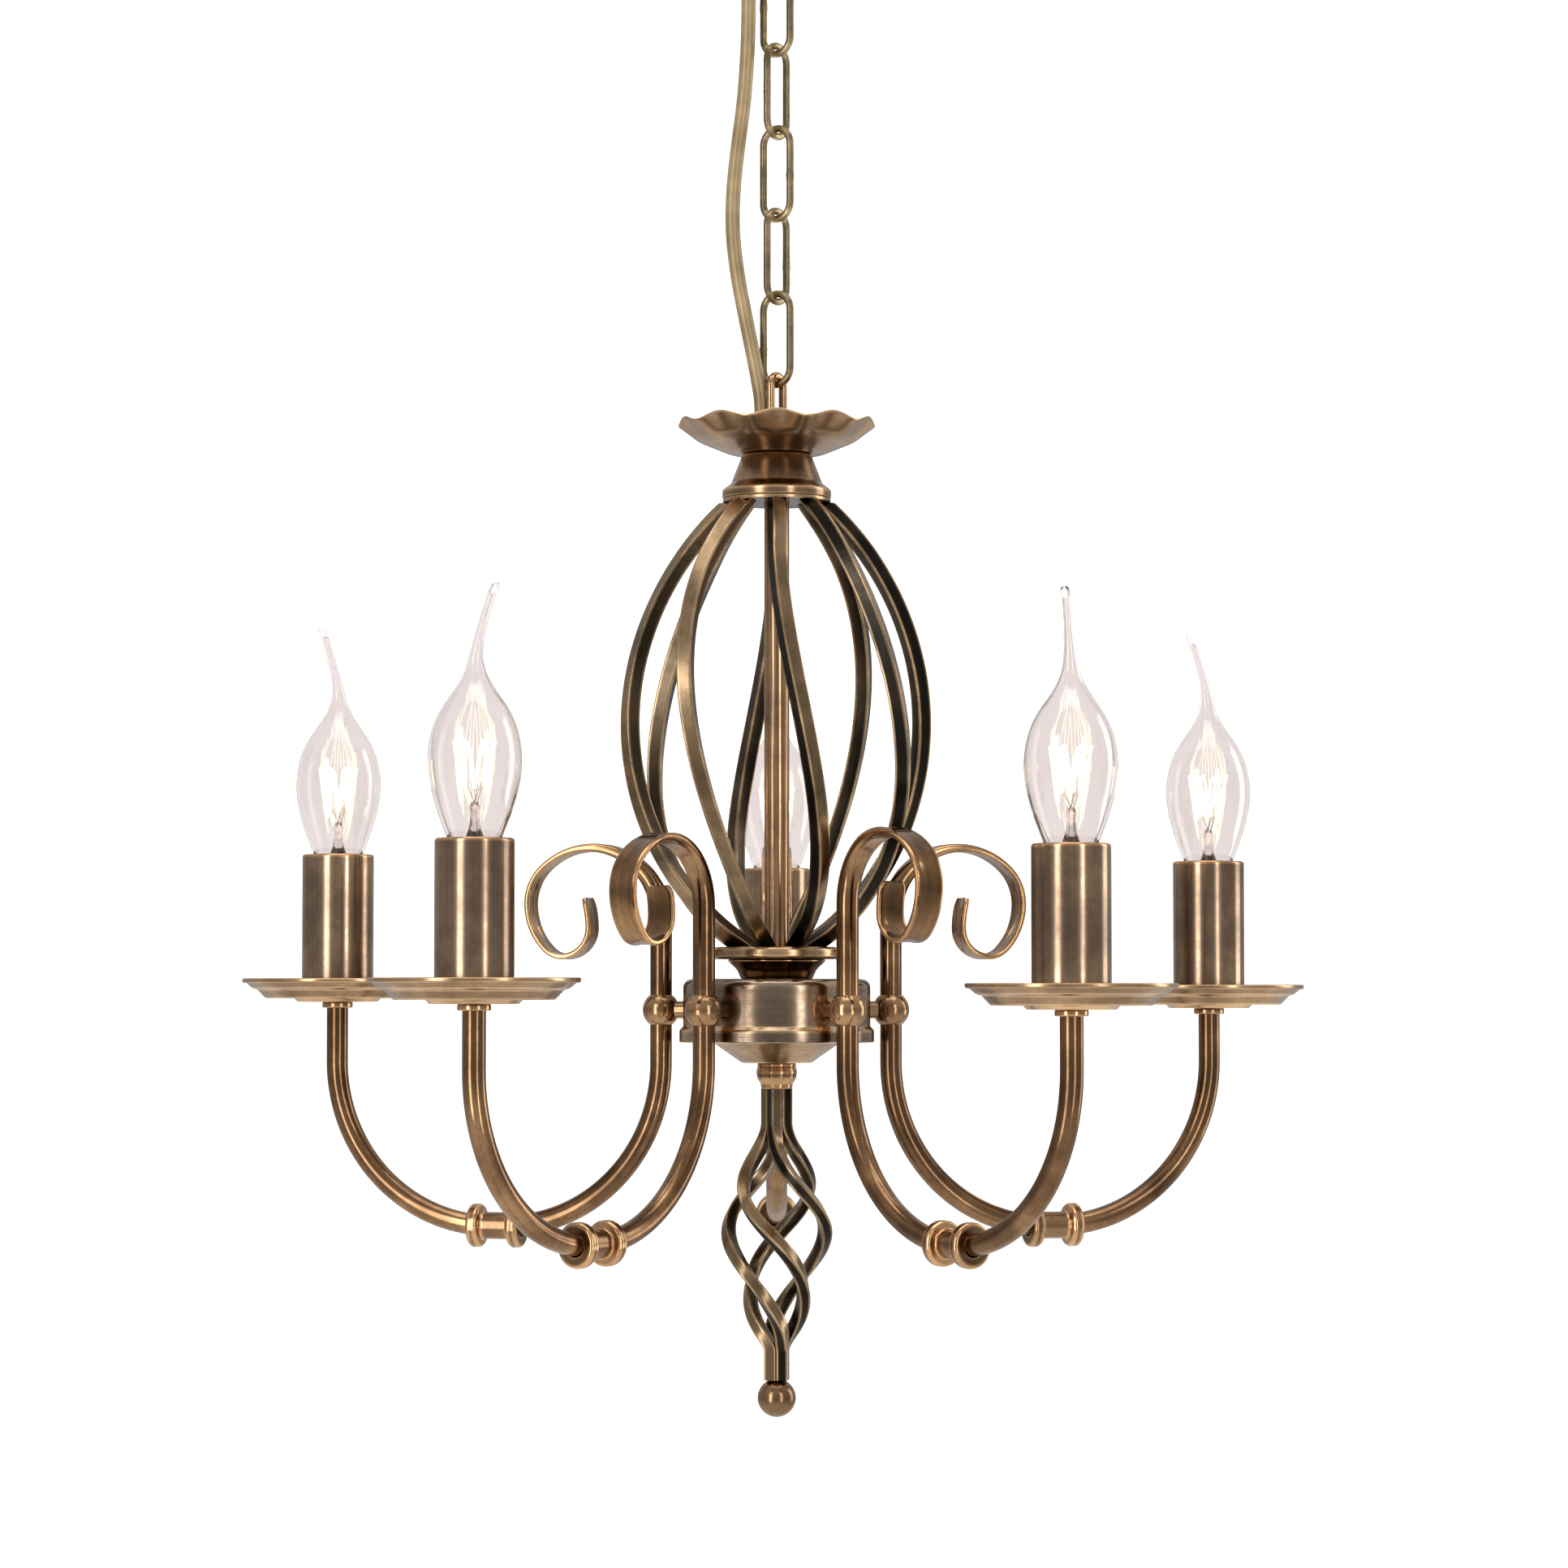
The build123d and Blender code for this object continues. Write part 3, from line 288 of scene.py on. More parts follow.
def bent(start, heading, moves, step):
    """Plane path of straights and arcs: each move is (length, 0) or (radius, turn in degrees, + to the left).

    An arc's centre lies one radius to the side it turns to, and its points go round that centre by even angles.
    """
    at = np.array(start, float)
    facing = np.array(heading, float)
    rows = [at[None]]
    for size, turn in moves:
        length = size if turn == 0 else size * radians(abs(turn))
        share = np.linspace(0, 1, max(int(length / step), 2) + 1)[1:, None]
        if turn == 0:
            rows.append(at + facing * size * share)
        else:
            left = np.array([-facing[1], facing[0]]) * np.sign(turn)
            angle = radians(abs(turn)) * share
            rows.append(at + left * size * (1 - np.cos(angle)) + facing * size * np.sin(angle))
            end = radians(turn)
            facing = np.array(
                [facing[0] * cos(end) - facing[1] * sin(end), facing[0] * sin(end) + facing[1] * cos(end)]
            )
        at = rows[-1][-1]
    return np.concatenate(rows)


GUARD = 0.7  # millimetres


def rounded(corners, radii, closed=False, steps=5):
    """Outline through corners whose tangent arcs start radius * tan(half turn) from the corner.

    Also says which points are worn: those on tight convex or concave arcs, under 2 mm.
    """
    corners = np.array(corners, float)
    count = len(corners)
    points, worn = [], []
    for index, corner in enumerate(corners):
        radius = radii[index] if closed else ([0, *radii, 0][index])
        if radius <= 0:
            points.append(corner[None])
            worn.append([0.0])
            continue
        back = corners[index - 1] - corner
        onward = corners[(index + 1) % count] - corner
        back = back / np.linalg.norm(back)
        onward = onward / np.linalg.norm(onward)
        half = np.arccos(np.clip(back @ onward, -1, 1)) / 2
        inward = (back + onward) / np.linalg.norm(back + onward)
        middle = corner + inward * radius / sin(half)
        first = corner + back * radius / tan(half) - middle
        last = corner + onward * radius / tan(half) - middle
        share = np.linspace(0, 1, steps + 1)[:, None]
        spread = pi - 2 * half
        arc = (first * np.sin((1 - share) * spread) + last * np.sin(share * spread)) / sin(spread)
        points.append(middle + arc)
        worn.append(np.full(steps + 1, 1.0 if radius < 2 else 0.0))
    return guarded(np.concatenate(points), np.concatenate(worn), closed)


def guarded(line, worn, closed):
    """Two unworn points on every long straight, GUARD from its ends, so that wear stays at the corners."""
    onward = np.roll(line, -1, 0)
    length = np.linalg.norm(onward - line, axis=1)
    long = length > 3 * GUARD
    if not closed:
        long[-1] = False
    share = GUARD / np.where(long, length, 1)[:, None]
    trio = np.stack([line, line + (onward - line) * share, onward + (line - onward) * share], 1)
    rubs = np.stack([worn, 0 * worn, 0 * worn], 1)
    kept = np.stack([np.full(len(line), True), long, long], 1)
    return trio[kept], rubs[kept]


def sheet_outline(corners, bends, wall):
    """Section of spun sheet: the centre line moved half the wall to each side, with round rims at its ends."""
    line, worn = rounded(corners, bends)
    along = np.gradient(line, axis=0)
    along /= np.linalg.norm(along, axis=1)[:, None]
    side = np.stack([-along[:, 1], along[:, 0]], 1) * wall / 2
    lip = np.linspace(0, pi, 6)[1:-1, None]
    head = line[-1] + side[-1] * np.cos(lip) + along[-1] * wall / 2 * np.sin(lip)
    tail = line[0] - side[0] * np.cos(lip) - along[0] * wall / 2 * np.sin(lip)
    outline = np.concatenate([line + side, head, (line - side)[::-1], tail])
    return outline, np.concatenate([worn, np.ones(4), worn[::-1], np.ones(4)])


def through(points, count, ends=None):
    """Cubic curve through points, even in its slope's slope, measured along the chords between them."""
    points = np.array(points, float)
    chords = np.linalg.norm(np.diff(points, axis=0), axis=1)
    knots = np.concatenate([[0], np.cumsum(chords)])
    size = len(points)
    system, right = np.zeros((size, size)), np.zeros_like(points)
    for row in range(1, size - 1):
        before, after = chords[row - 1], chords[row]
        system[row, row - 1 : row + 2] = after, 2 * (before + after), before
        right[row] = 3 * (
            after * (points[row] - points[row - 1]) / before + before * (points[row + 1] - points[row]) / after
        )
    if ends:
        system[0, 0] = system[-1, -1] = 1
        right[0], right[-1] = ends
    else:
        system[0, :2] = system[-1, :-3:-1] = 2, 1
        right[0] = 3 * (points[1] - points[0]) / chords[0]
        right[-1] = 3 * (points[-1] - points[-2]) / chords[-1]
    slopes = np.linalg.solve(system, right)
    reach = np.linspace(0, knots[-1], count)
    span = np.clip(np.searchsorted(knots, reach, side="right") - 1, 0, size - 2)
    width = chords[span][:, None]
    share = (reach - knots[span])[:, None] / width
    return (
        (2 * share**3 - 3 * share**2 + 1) * points[span]
        + (share**3 - 2 * share**2 + share) * width * slopes[span]
        + (3 * share**2 - 2 * share**3) * points[span + 1]
        + (share**3 - share**2) * width * slopes[span + 1]
    )


def skin(name, parts, material, body, nodes=()):
    """One piece from grids of points in millimetres: rows and columns are joined by four-sided faces.

    Each part is (points, worn, place, wraps): points is rows x columns x 3, worn and place have the same rows
    and columns, and wraps says whether the last row joins the first. The last column always joins the first. A
    row drawn together in one point closes an end. Faces are turned outwards by the sign of the enclosed volume;
    a fifth entry marks the inside of a hollow, whose faces look the other way.
    """
    spots, faces, rubs, places = [], [], [], []
    offset = 0
    for points, worn, place, wraps, *hollow in parts:
        rows, columns = points.shape[:2]
        last = rows if wraps else rows - 1
        row, column = np.meshgrid(np.arange(last), np.arange(columns), indexing="ij")
        below, beside = (row + 1) % rows, (column + 1) % columns
        quads = np.stack(
            [row * columns + column, below * columns + column, below * columns + beside, row * columns + beside],
            -1,
        ).reshape(-1, 4)
        flat = points.reshape(-1, 3)
        a, b, c, d = (flat[quads[:, corner]] for corner in range(4))
        volume = (a * np.cross(b, c)).sum() + (a * np.cross(c, d)).sum()
        if (volume < 0) != bool(hollow):
            quads = quads[:, ::-1]
        spots.append(flat * MM)
        faces.append(quads + offset)
        rubs.append(np.broadcast_to(worn, (rows, columns)).reshape(-1))
        places.append(np.broadcast_to(place, (rows, columns, 3)).reshape(-1, 3) * MM)
        offset += len(flat)
    mesh = bpy.data.meshes.new(name)
    mesh.from_pydata(np.concatenate(spots), [], np.concatenate(faces).tolist())
    # The worn attribute holds wear, and on the stem and the cage bars also painted light.
    mesh.attributes.new("worn", "FLOAT", "POINT").data.foreach_set(
        "value", np.concatenate(rubs).astype(np.float32)
    )
    mesh.attributes.new("place", "FLOAT_VECTOR", "POINT").data.foreach_set(
        "vector", np.concatenate(places).astype(np.float32).ravel()
    )
    shape = bmesh.new()
    shape.from_mesh(mesh)
    bmesh.ops.remove_doubles(shape, verts=shape.verts, dist=1e-7)
    bmesh.ops.dissolve_degenerate(shape, edges=shape.edges, dist=1e-8)
    shape.to_mesh(mesh)
    shape.free()
    mesh.shade_smooth()
    mesh.set_sharp_from_angle(angle=radians(38))
    mesh.materials.append(material)
    piece = bpy.data.objects.new(name, mesh)
    bpy.context.collection.objects.link(piece)
    if nodes:
        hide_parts(*nodes)
    if body:
        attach(piece, body)
    return piece


def lathe(outline, worn, middle, sides=96, axis=(0, 0, 1)):
    """A closed outline (radius, height) turned about an axis: point = middle + r cos a U + r sin a V + h axis."""
    axis = np.array(axis, float)
    across = np.cross((0, 1, 0) if abs(axis[2]) > 0.5 else (0, 0, 1), axis)
    across /= np.linalg.norm(across)
    other = np.cross(axis, across)
    angle = np.linspace(0, 2 * pi, sides, endpoint=False)
    radius, height = outline[:, 0, None, None], outline[:, 1, None, None]
    ring = np.cos(angle)[None, :, None] * across + np.sin(angle)[None, :, None] * other
    points = np.array(middle, float) + radius * ring + height * axis
    length = np.concatenate([[0], np.cumsum(np.linalg.norm(np.diff(outline, axis=0), axis=1))])
    widest = outline[:, 0].max()
    place = np.zeros(points.shape)
    place[..., 0] = widest * np.cos(angle)
    place[..., 1] = widest * np.sin(angle)
    place[..., 2] = length[:, None]
    return points, np.array(worn)[:, None], place, True


def sweep(path, side, lift, section, worn, closed=False):
    """A section carried along a path: point = path + x side + y lift. Ends are drawn together to the path."""
    section = np.broadcast_to(section, (len(path), *section.shape[-2:]))
    worn = np.broadcast_to(worn, section.shape[:2])
    points = path[:, None] + section[..., :1] * side[:, None] + section[..., 1:] * lift[:, None]
    length = np.concatenate([[0], np.cumsum(np.linalg.norm(np.diff(path, axis=0), axis=1))])
    angle = np.linspace(0, 2 * pi, section.shape[1], endpoint=False)
    place = np.zeros(points.shape)
    place[..., 0] = 5 * np.cos(angle)
    place[..., 1] = 5 * np.sin(angle)
    place[..., 2] = length[:, None]
    if not closed:
        ends = [np.broadcast_to(path[end], points[:1].shape) for end in (0, -1)]
        points = np.concatenate([ends[0], points, ends[1]])
        worn = np.concatenate([worn[:1], worn, worn[-1:]])
        place = np.concatenate([place[:1], place, place[-1:]])
    return points, worn, place, closed


def steered(path, facing):
    """Directions across a path: facing made square to the path's run, and the one square to both."""
    run = np.gradient(path, axis=0)
    run /= np.linalg.norm(run, axis=1)[:, None]
    facing = facing - (facing * run).sum(1)[:, None] * run
    facing = facing / np.linalg.norm(facing, axis=1)[:, None]
    return facing, np.cross(run, facing)


def circle(radius, count=24):
    angle = np.linspace(0, 2 * pi, count, endpoint=False)
    return np.stack([radius * np.cos(angle), radius * np.sin(angle)], 1)


def stood(plane_path, turn):
    """A path (distance, height) in the upright plane that is turned by an angle about the column."""
    return np.stack([plane_path[:, 0] * cos(turn), plane_path[:, 0] * sin(turn), plane_path[:, 1]], 1)


RIM_MM = RIM / MM

# ---------------------------------------------------------------- flex

FLEX_ROUTE = [
    (-8.8, 1.4, 209.0),
    (-7.2, 1.0, 223.0),
    (-5.8, 0.3, 237.5),
    (-8.5, -0.7, 252.8),
    (-12.4, -1.6, 271.7),
    (-16.2, -2.2, 291.0),
    (-18.4, -2.5, 310.0),
    (-17.9, -2.7, 328.0),
    (-15.8, -2.6, 346.4),
    (-13.4, -2.4, 364.0),
    (-11.9, -2.3, 386.0),
    (-11.5, -2.4, 410.0),
    (-12.4, -2.6, 434.0),
    (-17.0, -2.8, 454.0),
]
FLEX_D = 0.006

flex_curve = bpy.data.curves.new("flex_route", "CURVE")
flex_curve.dimensions = "3D"
flex_line = flex_curve.splines.new("NURBS")
flex_line.points.add(len(FLEX_ROUTE) - 1)
for point, (x, y, height) in zip(flex_line.points, FLEX_ROUTE):
    point.co = (x * MM, y * MM, RIM + height * MM, 1.0)
flex_line.order_u = 3
flex_line.use_endpoint_u = True
flex_line.resolution_u = 12
flex_route = bpy.data.objects.new("flex_route", flex_curve)
bpy.context.collection.objects.link(flex_route)
bpy.context.view_layer.update()
route_mesh = bpy.data.meshes.new_from_object(flex_route)
flex_path = np.array([tuple(vertex.co) for vertex in route_mesh.vertices])
bpy.data.objects.remove(flex_route)
flex_facing = np.broadcast_to(np.array([0.0, 1.0, 0.0]), flex_path.shape)
flex_tube = sweep(flex_path / MM, *steered(flex_path, flex_facing), circle(FLEX_D / MM / 2), 0.0)
flex = skin("flex", [flex_tube], SHEATH, None, ["flex_cable"])
LOOP_TOP = top("top_loop")
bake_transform(flex)

# ---------------------------------------------------------------- chain and hook

LINK_LENGTH = 40.6
LINK_HALF = 6.75
LINK_WIRE_R = 1.5
SWELL = 0.16  # how much the wire is thickened where a link is welded, as a share
WELD_REACH, WELD_NICK = 1.3, 0.35  # the swelling fades over the first, and a groove over the second runs round it
RUBBED_END = 15.0  # from this far off its middle, a link is worn by the next one


def chain_link(number):
    """A link: wire of round section along two straights and two half rounds, thicker at the weld on one side."""
    link_top = top(f"chain_link_{number}") / MM
    turn = radians(-36 + 90 * (6 - number))
    bend = LINK_HALF + LINK_WIRE_R
    side = LINK_LENGTH - 2 * bend
    moves = [(side, 0), (LINK_HALF, 180)] * 2
    line = bent((LINK_HALF, -bend - side), (0, 1), moves, 0.9)[:-1]
    path = stood(line, turn) + np.array([0, 0, link_top])
    across = np.array([sin(turn), -cos(turn), 0])
    side_way = np.broadcast_to(across, path.shape)
    run = np.roll(path, -1, 0) - np.roll(path, 1, 0)
    run /= np.linalg.norm(run, axis=1)[:, None]
    weld_side = 1 if number % 2 else -1
    from_weld = np.abs(line[:, 1] + LINK_LENGTH / 2 + 1.5 * (number - 3)) + 40 * (line[:, 0] * weld_side < 0)
    groove = np.exp(-((from_weld / WELD_NICK) ** 2)) * SWELL * 1.3
    swell = np.exp(-((from_weld / WELD_REACH) ** 2)) * SWELL - groove
    section = circle(LINK_WIRE_R, 20) * (1 + swell)[:, None, None]
    at_end = np.abs(line[:, 1] + LINK_LENGTH / 2) > RUBBED_END
    worn = (0.25 + 0.75 * at_end)[:, None] * np.ones(20)
    return sweep(path, side_way, np.cross(run, side_way), section, worn, closed=True)


for number in range(1, 7):
    skin(
        f"chain_link_wire_{number}", [chain_link(number)], CHAIN, "top_link" if number == 1 else "chain",
        [f"chain_link_{number}"],
    )

# The loop: round wire bent over, on an oval tang.
LOOP_TURN = radians(54)
LOOP_HALF = 4.25
LOOP_WIRE_R = 1.75
tang_foot = foot("top_dish") / MM + 0.85
loop_top = LOOP_TOP / MM
loop_side = loop_top - LOOP_WIRE_R - LOOP_HALF - tang_foot - 1.5
loop_line = bent((LOOP_HALF, tang_foot + 1.5), (0, 1), [(loop_side, 0), (LOOP_HALF, 180), (loop_side, 0)], 0.8)
loop_path = stood(loop_line, LOOP_TURN)
loop_side_way = np.broadcast_to(np.array([sin(LOOP_TURN), -cos(LOOP_TURN), 0.0]), loop_path.shape)
loop_parts = [sweep(loop_path, *steered(loop_path, loop_side_way), circle(LOOP_WIRE_R), 0.35)]
tang_rows = np.array([(1.0, 0.0), (1.0, 3.0), (0.9, 3.7), (0.78, 4.0)])
oval = circle(1.0, 40)
tang_section = np.stack([oval[:, 0] * 6.4, oval[:, 1] * 2.4], 1)
tang_path = np.stack([0 * tang_rows[:, 1], 0 * tang_rows[:, 1], tang_foot + tang_rows[:, 1]], 1)
tang_side = np.broadcast_to(np.array([cos(LOOP_TURN), sin(LOOP_TURN), 0.0]), tang_path.shape)
tang_lift = np.broadcast_to(np.array([-sin(LOOP_TURN), cos(LOOP_TURN), 0.0]), tang_path.shape)
loop_parts.append(
    sweep(tang_path, tang_side, tang_lift, tang_section * tang_rows[:, :1, None], tang_rows[:, 1:] > 2.0)
)
skin("hanging_loop", loop_parts, TURNED, "pendant", ["top_loop"])

# The hook under the ceiling: a straight shank, a lead-in of 60 degrees, and an open bend under it.
HOOK_TURN = radians(144)
hook_line = bent((0, -0.1), (0, -1), [(11.36, 0), (9.0, -60), (9.0, 320)], 0.8)
hook_path = stood(hook_line, HOOK_TURN)
hook_side = np.broadcast_to(np.array([sin(HOOK_TURN), -cos(HOOK_TURN), 0.0]), hook_path.shape)
skin(
    "ceiling_hook_wire", [sweep(hook_path, *steered(hook_path, hook_side), circle(2.25), 0.3)], TURNED, "ceiling",
    ["ceiling_hook"],
)

# ---------------------------------------------------------------- spun and turned pieces of the column


def at_rims(height):
    return (0.0, 0.0, RIM_MM + height)


CUP_TOP, CAGE_FOOT, CAGE_TOP = 10.3, 15.3, 197.6
BELL_FOOT = 199.3

canopy_line, canopy_worn = sheet_outline(
    [(57.5, -0.5), (57.5, -33.0), (33.5, -56.76), (20.5, -59.4), (20.5, -65.5)], [26.0, 8.0, 3.0], 1.0
)
skin("canopy_bell", [lathe(canopy_line, canopy_worn, (0, 0, 0))], SPUN, "ceiling", ["canopy"])

# The dish: bowl section, its rim lifted and dropped in ten gentle waves that die out towards its floor.
DISH_LOBES, DISH_WAVE = 10, 2.4
dish_line, dish_worn = sheet_outline(
    [(3.55, 218.0), (18.9, 218.0), (31.5, 223.2), (40.0, 231.5)], [12.0, 16.0], 0.8
)
points, worn, place, wraps = lathe(dish_line, dish_worn, at_rims(0), sides=200)
dish_angle = np.arctan2(points[..., 1], points[..., 0])
dish_share = np.clip((np.hypot(points[..., 0], points[..., 1]) - 24) / 16.1, 0, 1) ** 2
ripple = (1 - np.cos(DISH_LOBES * (dish_angle - pi / 2))) / 2
points[..., 2] -= DISH_WAVE * ripple * dish_share
points[..., :2] *= (1 - 0.012 * (1 - ripple) * dish_share)[..., None]
skin("wavy_dish", [(points, worn, place, wraps)], SPUN, "pendant", ["top_dish"])

bell_line, bell_worn = sheet_outline(
    [(3.6, 217.1), (13.8, 217.1), (18.4, 205.2), (21.9, 202.5), (21.9, 199.85)], [1.0, 2.0, 1.0], 1.0
)
skin("top_bell_shell", [lathe(bell_line, bell_worn, at_rims(0))], SPUN, "pendant", ["top_bell"])

plate_line, plate_worn = rounded(
    [(5.2, CAGE_TOP), (22.2, CAGE_TOP), (22.2, BELL_FOOT), (5.2, BELL_FOOT)], [0, 0.5, 0.5, 0], closed=True
)
skin(
    "cage_top_disc", [lathe(plate_line, plate_worn, at_rims(0))], PATINA, "pendant",
    ["cage_top_plate"],
)
stem_line, stem_worn = rounded(
    [(4.1, -38.4), (5.15, -38.4), (5.15, 207.3), (4.1, 207.3)], [0, 0.3, 0.3, 0], closed=True
)
# Painted sheen: the whole stem is mixed 0.6 of the way to the brighter tone, lighter golden all over.
skin(
    "stem", [lathe(stem_line, stem_worn * 0 + 0.6, at_rims(0), sides=48)], DRAWN, "pendant",
    ["stem_tube"],
)
foot_line, foot_worn = rounded(
    [(5.2, CUP_TOP), (26.6, CUP_TOP), (26.6, CAGE_FOOT), (5.2, CAGE_FOOT)], [0, 1.75, 1.75, 0], closed=True
)
skin("cage_foot_disc", [lathe(foot_line, foot_worn, at_rims(0))], PATINA, "pendant", ["cage_foot"])
cup_line, cup_worn = sheet_outline([(14.3, 2.95), (15.8, 6.4), (19.3, 9.7)], [6.0], 1.2)
skin("hub_cup_shell", [lathe(cup_line, cup_worn, at_rims(0))], TURNED, "pendant", ["hub_cup"])
hub_line, hub_worn = sheet_outline(
    [(5.8, 1.7), (37.7, 1.7), (37.7, -17.3), (39.2, -18.8), (39.2, -23.0)], [3.0, 0.8, 0.8], 1.2
)
skin(
    "hub_drum", [lathe(hub_line, hub_worn, at_rims(0), sides=160)], DRUM, "pendant", ["hub_body"]
)
cover_line, cover_worn = sheet_outline(
    [(37.9, -23.0), (26.0, -23.0), (14.0, -31.4), (5.8, -31.4)], [4.0, 1.5], 1.2
)
skin(
    "hub_underside", [lathe(cover_line, cover_worn, at_rims(0), sides=160)], SPUN, "pendant",
    ["hub_cover"],
)
tulip_line, tulip_worn = rounded(
    [(5.3, -32.1), (8.0, -32.1), (7.8, -33.2), (8.4, -35.6), (7.9, -38.4), (6.55, -40.6), (6.4, -42.5),
     (0, -42.5), (0, -38.6), (5.3, -38.6)],
    [0, 0.5, 0.6, 1.8, 1.8, 1.0, 0.4, 0, 0, 0], closed=True,
)
skin("tulip", [lathe(tulip_line, tulip_worn, at_rims(0))], TURNED, "pendant", ["tulip_collar"])
BASKET_FOOT = -160.7
ball_angle = np.linspace(-pi / 2, pi / 2 - 0.32, 40)
ball_line = np.stack([7.8 * np.cos(ball_angle), -168.0 + 7.8 * np.sin(ball_angle)], 1)
ball_line = np.concatenate([ball_line, [(2.4, BASKET_FOOT), (0.0, BASKET_FOOT)]])
ball_line[0, 0] = 0.0
ball_line = np.concatenate([ball_line, [(0.0, -168.0)]])
skin(
    "finial", [lathe(ball_line, 0.15 + 0 * ball_line[:, 0], at_rims(0), sides=64)], TURNED, "pendant",
    ["ball_finial"],
)

# ---------------------------------------------------------------- cage and basket

BAR_CORNER = 0.55


def square_section(side):
    """Square with rounded corners; the corners are worn."""
    half = side / 2
    corners = [(half, -half), (half, half), (-half, half), (-half, -half)]
    return rounded(corners, [BAR_CORNER] * 4, closed=True, steps=4)


def round_column(radius, height, angle):
    """Places at an angle in degrees from the front, towards the right."""
    angle = np.radians(angle)
    return np.stack([radius * np.sin(angle), -radius * np.cos(angle), RIM_MM + height], 1)


def square_bar(path, side, roll, low, high):
    """Square bar along a path, rolled from facing outwards; its end rows slide along it onto level planes.

    The face that looks outwards is lightened half way to the worn tone, and one side face a little: painted
    light, where the lamps fall on the bars. The faces inside keep their patina; the rounded corners are worn.
    """
    outward = path * [1, 1, 0]
    turn = radians(roll)
    facing = np.stack(
        [
            outward[:, 0] * cos(turn) - outward[:, 1] * sin(turn),
            outward[:, 0] * sin(turn) + outward[:, 1] * cos(turn),
            0 * turn * outward[:, 2],
        ],
        1,
    )
    facing, lift = steered(path, facing)
    section, worn = square_section(side)
    # Painted light: 0.5 on the outward face and 0.12 on one side face, where the lamps fall; the inner faces keep
    # their patina.
    wear_and_painted_light = np.where(section[:, 0] > side / 2 - 0.01, 0.5, 0.12 * (section[:, 1] < 0))
    worn = np.maximum(0.8 * worn, wear_and_painted_light)
    points, worn, place, wraps = sweep(path, facing, lift, section, worn)
    run = np.gradient(path, axis=0)
    run /= np.linalg.norm(run, axis=1)[:, None]
    for rows, plane, along in (((0, 1), high, run[0]), ((-1, -2), low, run[-1])):
        for row in rows:
            points[row] += (plane - points[row][:, 2:]) / along[2] * along
    return points, worn, place, wraps


cage_profile = through(
    [(18.0, 197.6), (41.51, 169.89), (60.6, 106.45), (43.63, 43.01), (13.2, 15.3)], 170,
    ends=[(0.7585, -0.6516), (-0.8858, -0.464)],
)
cage_profile = cage_profile[(cage_profile[:, 1] < 194.6) & (cage_profile[:, 1] > 18.0)]
fallen = (CAGE_TOP - cage_profile[:, 1]) / (CAGE_TOP - CAGE_FOOT)
cage_turn = 29.0 * np.clip((fallen - 0.12) / 0.88, 0, 1) ** 1.3
cage_parts = [
    square_bar(
        round_column(cage_profile[:, 0], cage_profile[:, 1], cage_turn + 45 * number), 6.0, 24.0,
        RIM_MM + CAGE_FOOT, RIM_MM + CAGE_TOP,
    )
    for number in range(8)
]
skin("twisted_cage", cage_parts, PATINA, "pendant", ["cage_bars"])

BUNDLE_R = 5.0 / 2**0.5
BULGE = 19.9 - BUNDLE_R
basket_profile = through(
    [
        (BUNDLE_R, -56.5),
        (BUNDLE_R + 0.36 * BULGE, -71.0),
        (19.9, -91.5),
        (BUNDLE_R + 0.62 * BULGE, -121.5),
        (BUNDLE_R + 0.17 * BULGE, -141.5),
        (BUNDLE_R, -148.7),
    ],
    130,
    ends=[(0, -1), (0, -1)],
)
neck = np.linspace(0, 1, 12)[:-1, None]
basket_profile = np.concatenate(
    [(BUNDLE_R, -43.0) + neck * (0, -13.5), basket_profile, (BUNDLE_R, -160.2) + neck[::-1] * (0, 11.5)]
)
fallen = np.clip((-56.5 - basket_profile[:, 1]) / 92.2, 0, 1)
basket_turn = 237.0 * fallen**1.2
basket_parts = [
    square_bar(
        round_column(basket_profile[:, 0], basket_profile[:, 1], basket_turn - 106 + 90 * number), 4.8, 45.0,
        RIM_MM + BASKET_FOOT, RIM_MM - 42.5,
    )
    for number in range(4)
]
skin("twisted_basket", basket_parts, PATINA, "pendant", ["basket_bars"])

# ---------------------------------------------------------------- arms

ARM_ROOT, ARM_REACH = 49.5, 192.0
TUBE_R, TUBE_TOP = 4.5, -2.6
ARM_DROP, ARM_BEND_R, ARM_FLAT = 100.0, 68.0, 6.5
BALL_Z = -10.4
STRIP_HALF, STRIP_EDGE = 6.5, 1.5
FLATTENED_BY = 0.45  # share of the scroll's length over which the tube flattens
SCROLL_STARTS = [32.2, 27.0, 28.0, 27.0, 30.8]
SCROLL_SIZES = [0.96, 1.0, 1.0, 1.0, 0.93]
SCROLL_BENDS = [(29.5, 90), (30.0, 45), (20.0, 45), (27.0, 45), (10.0, 45), (11.7, 90), (40.0, 18)]


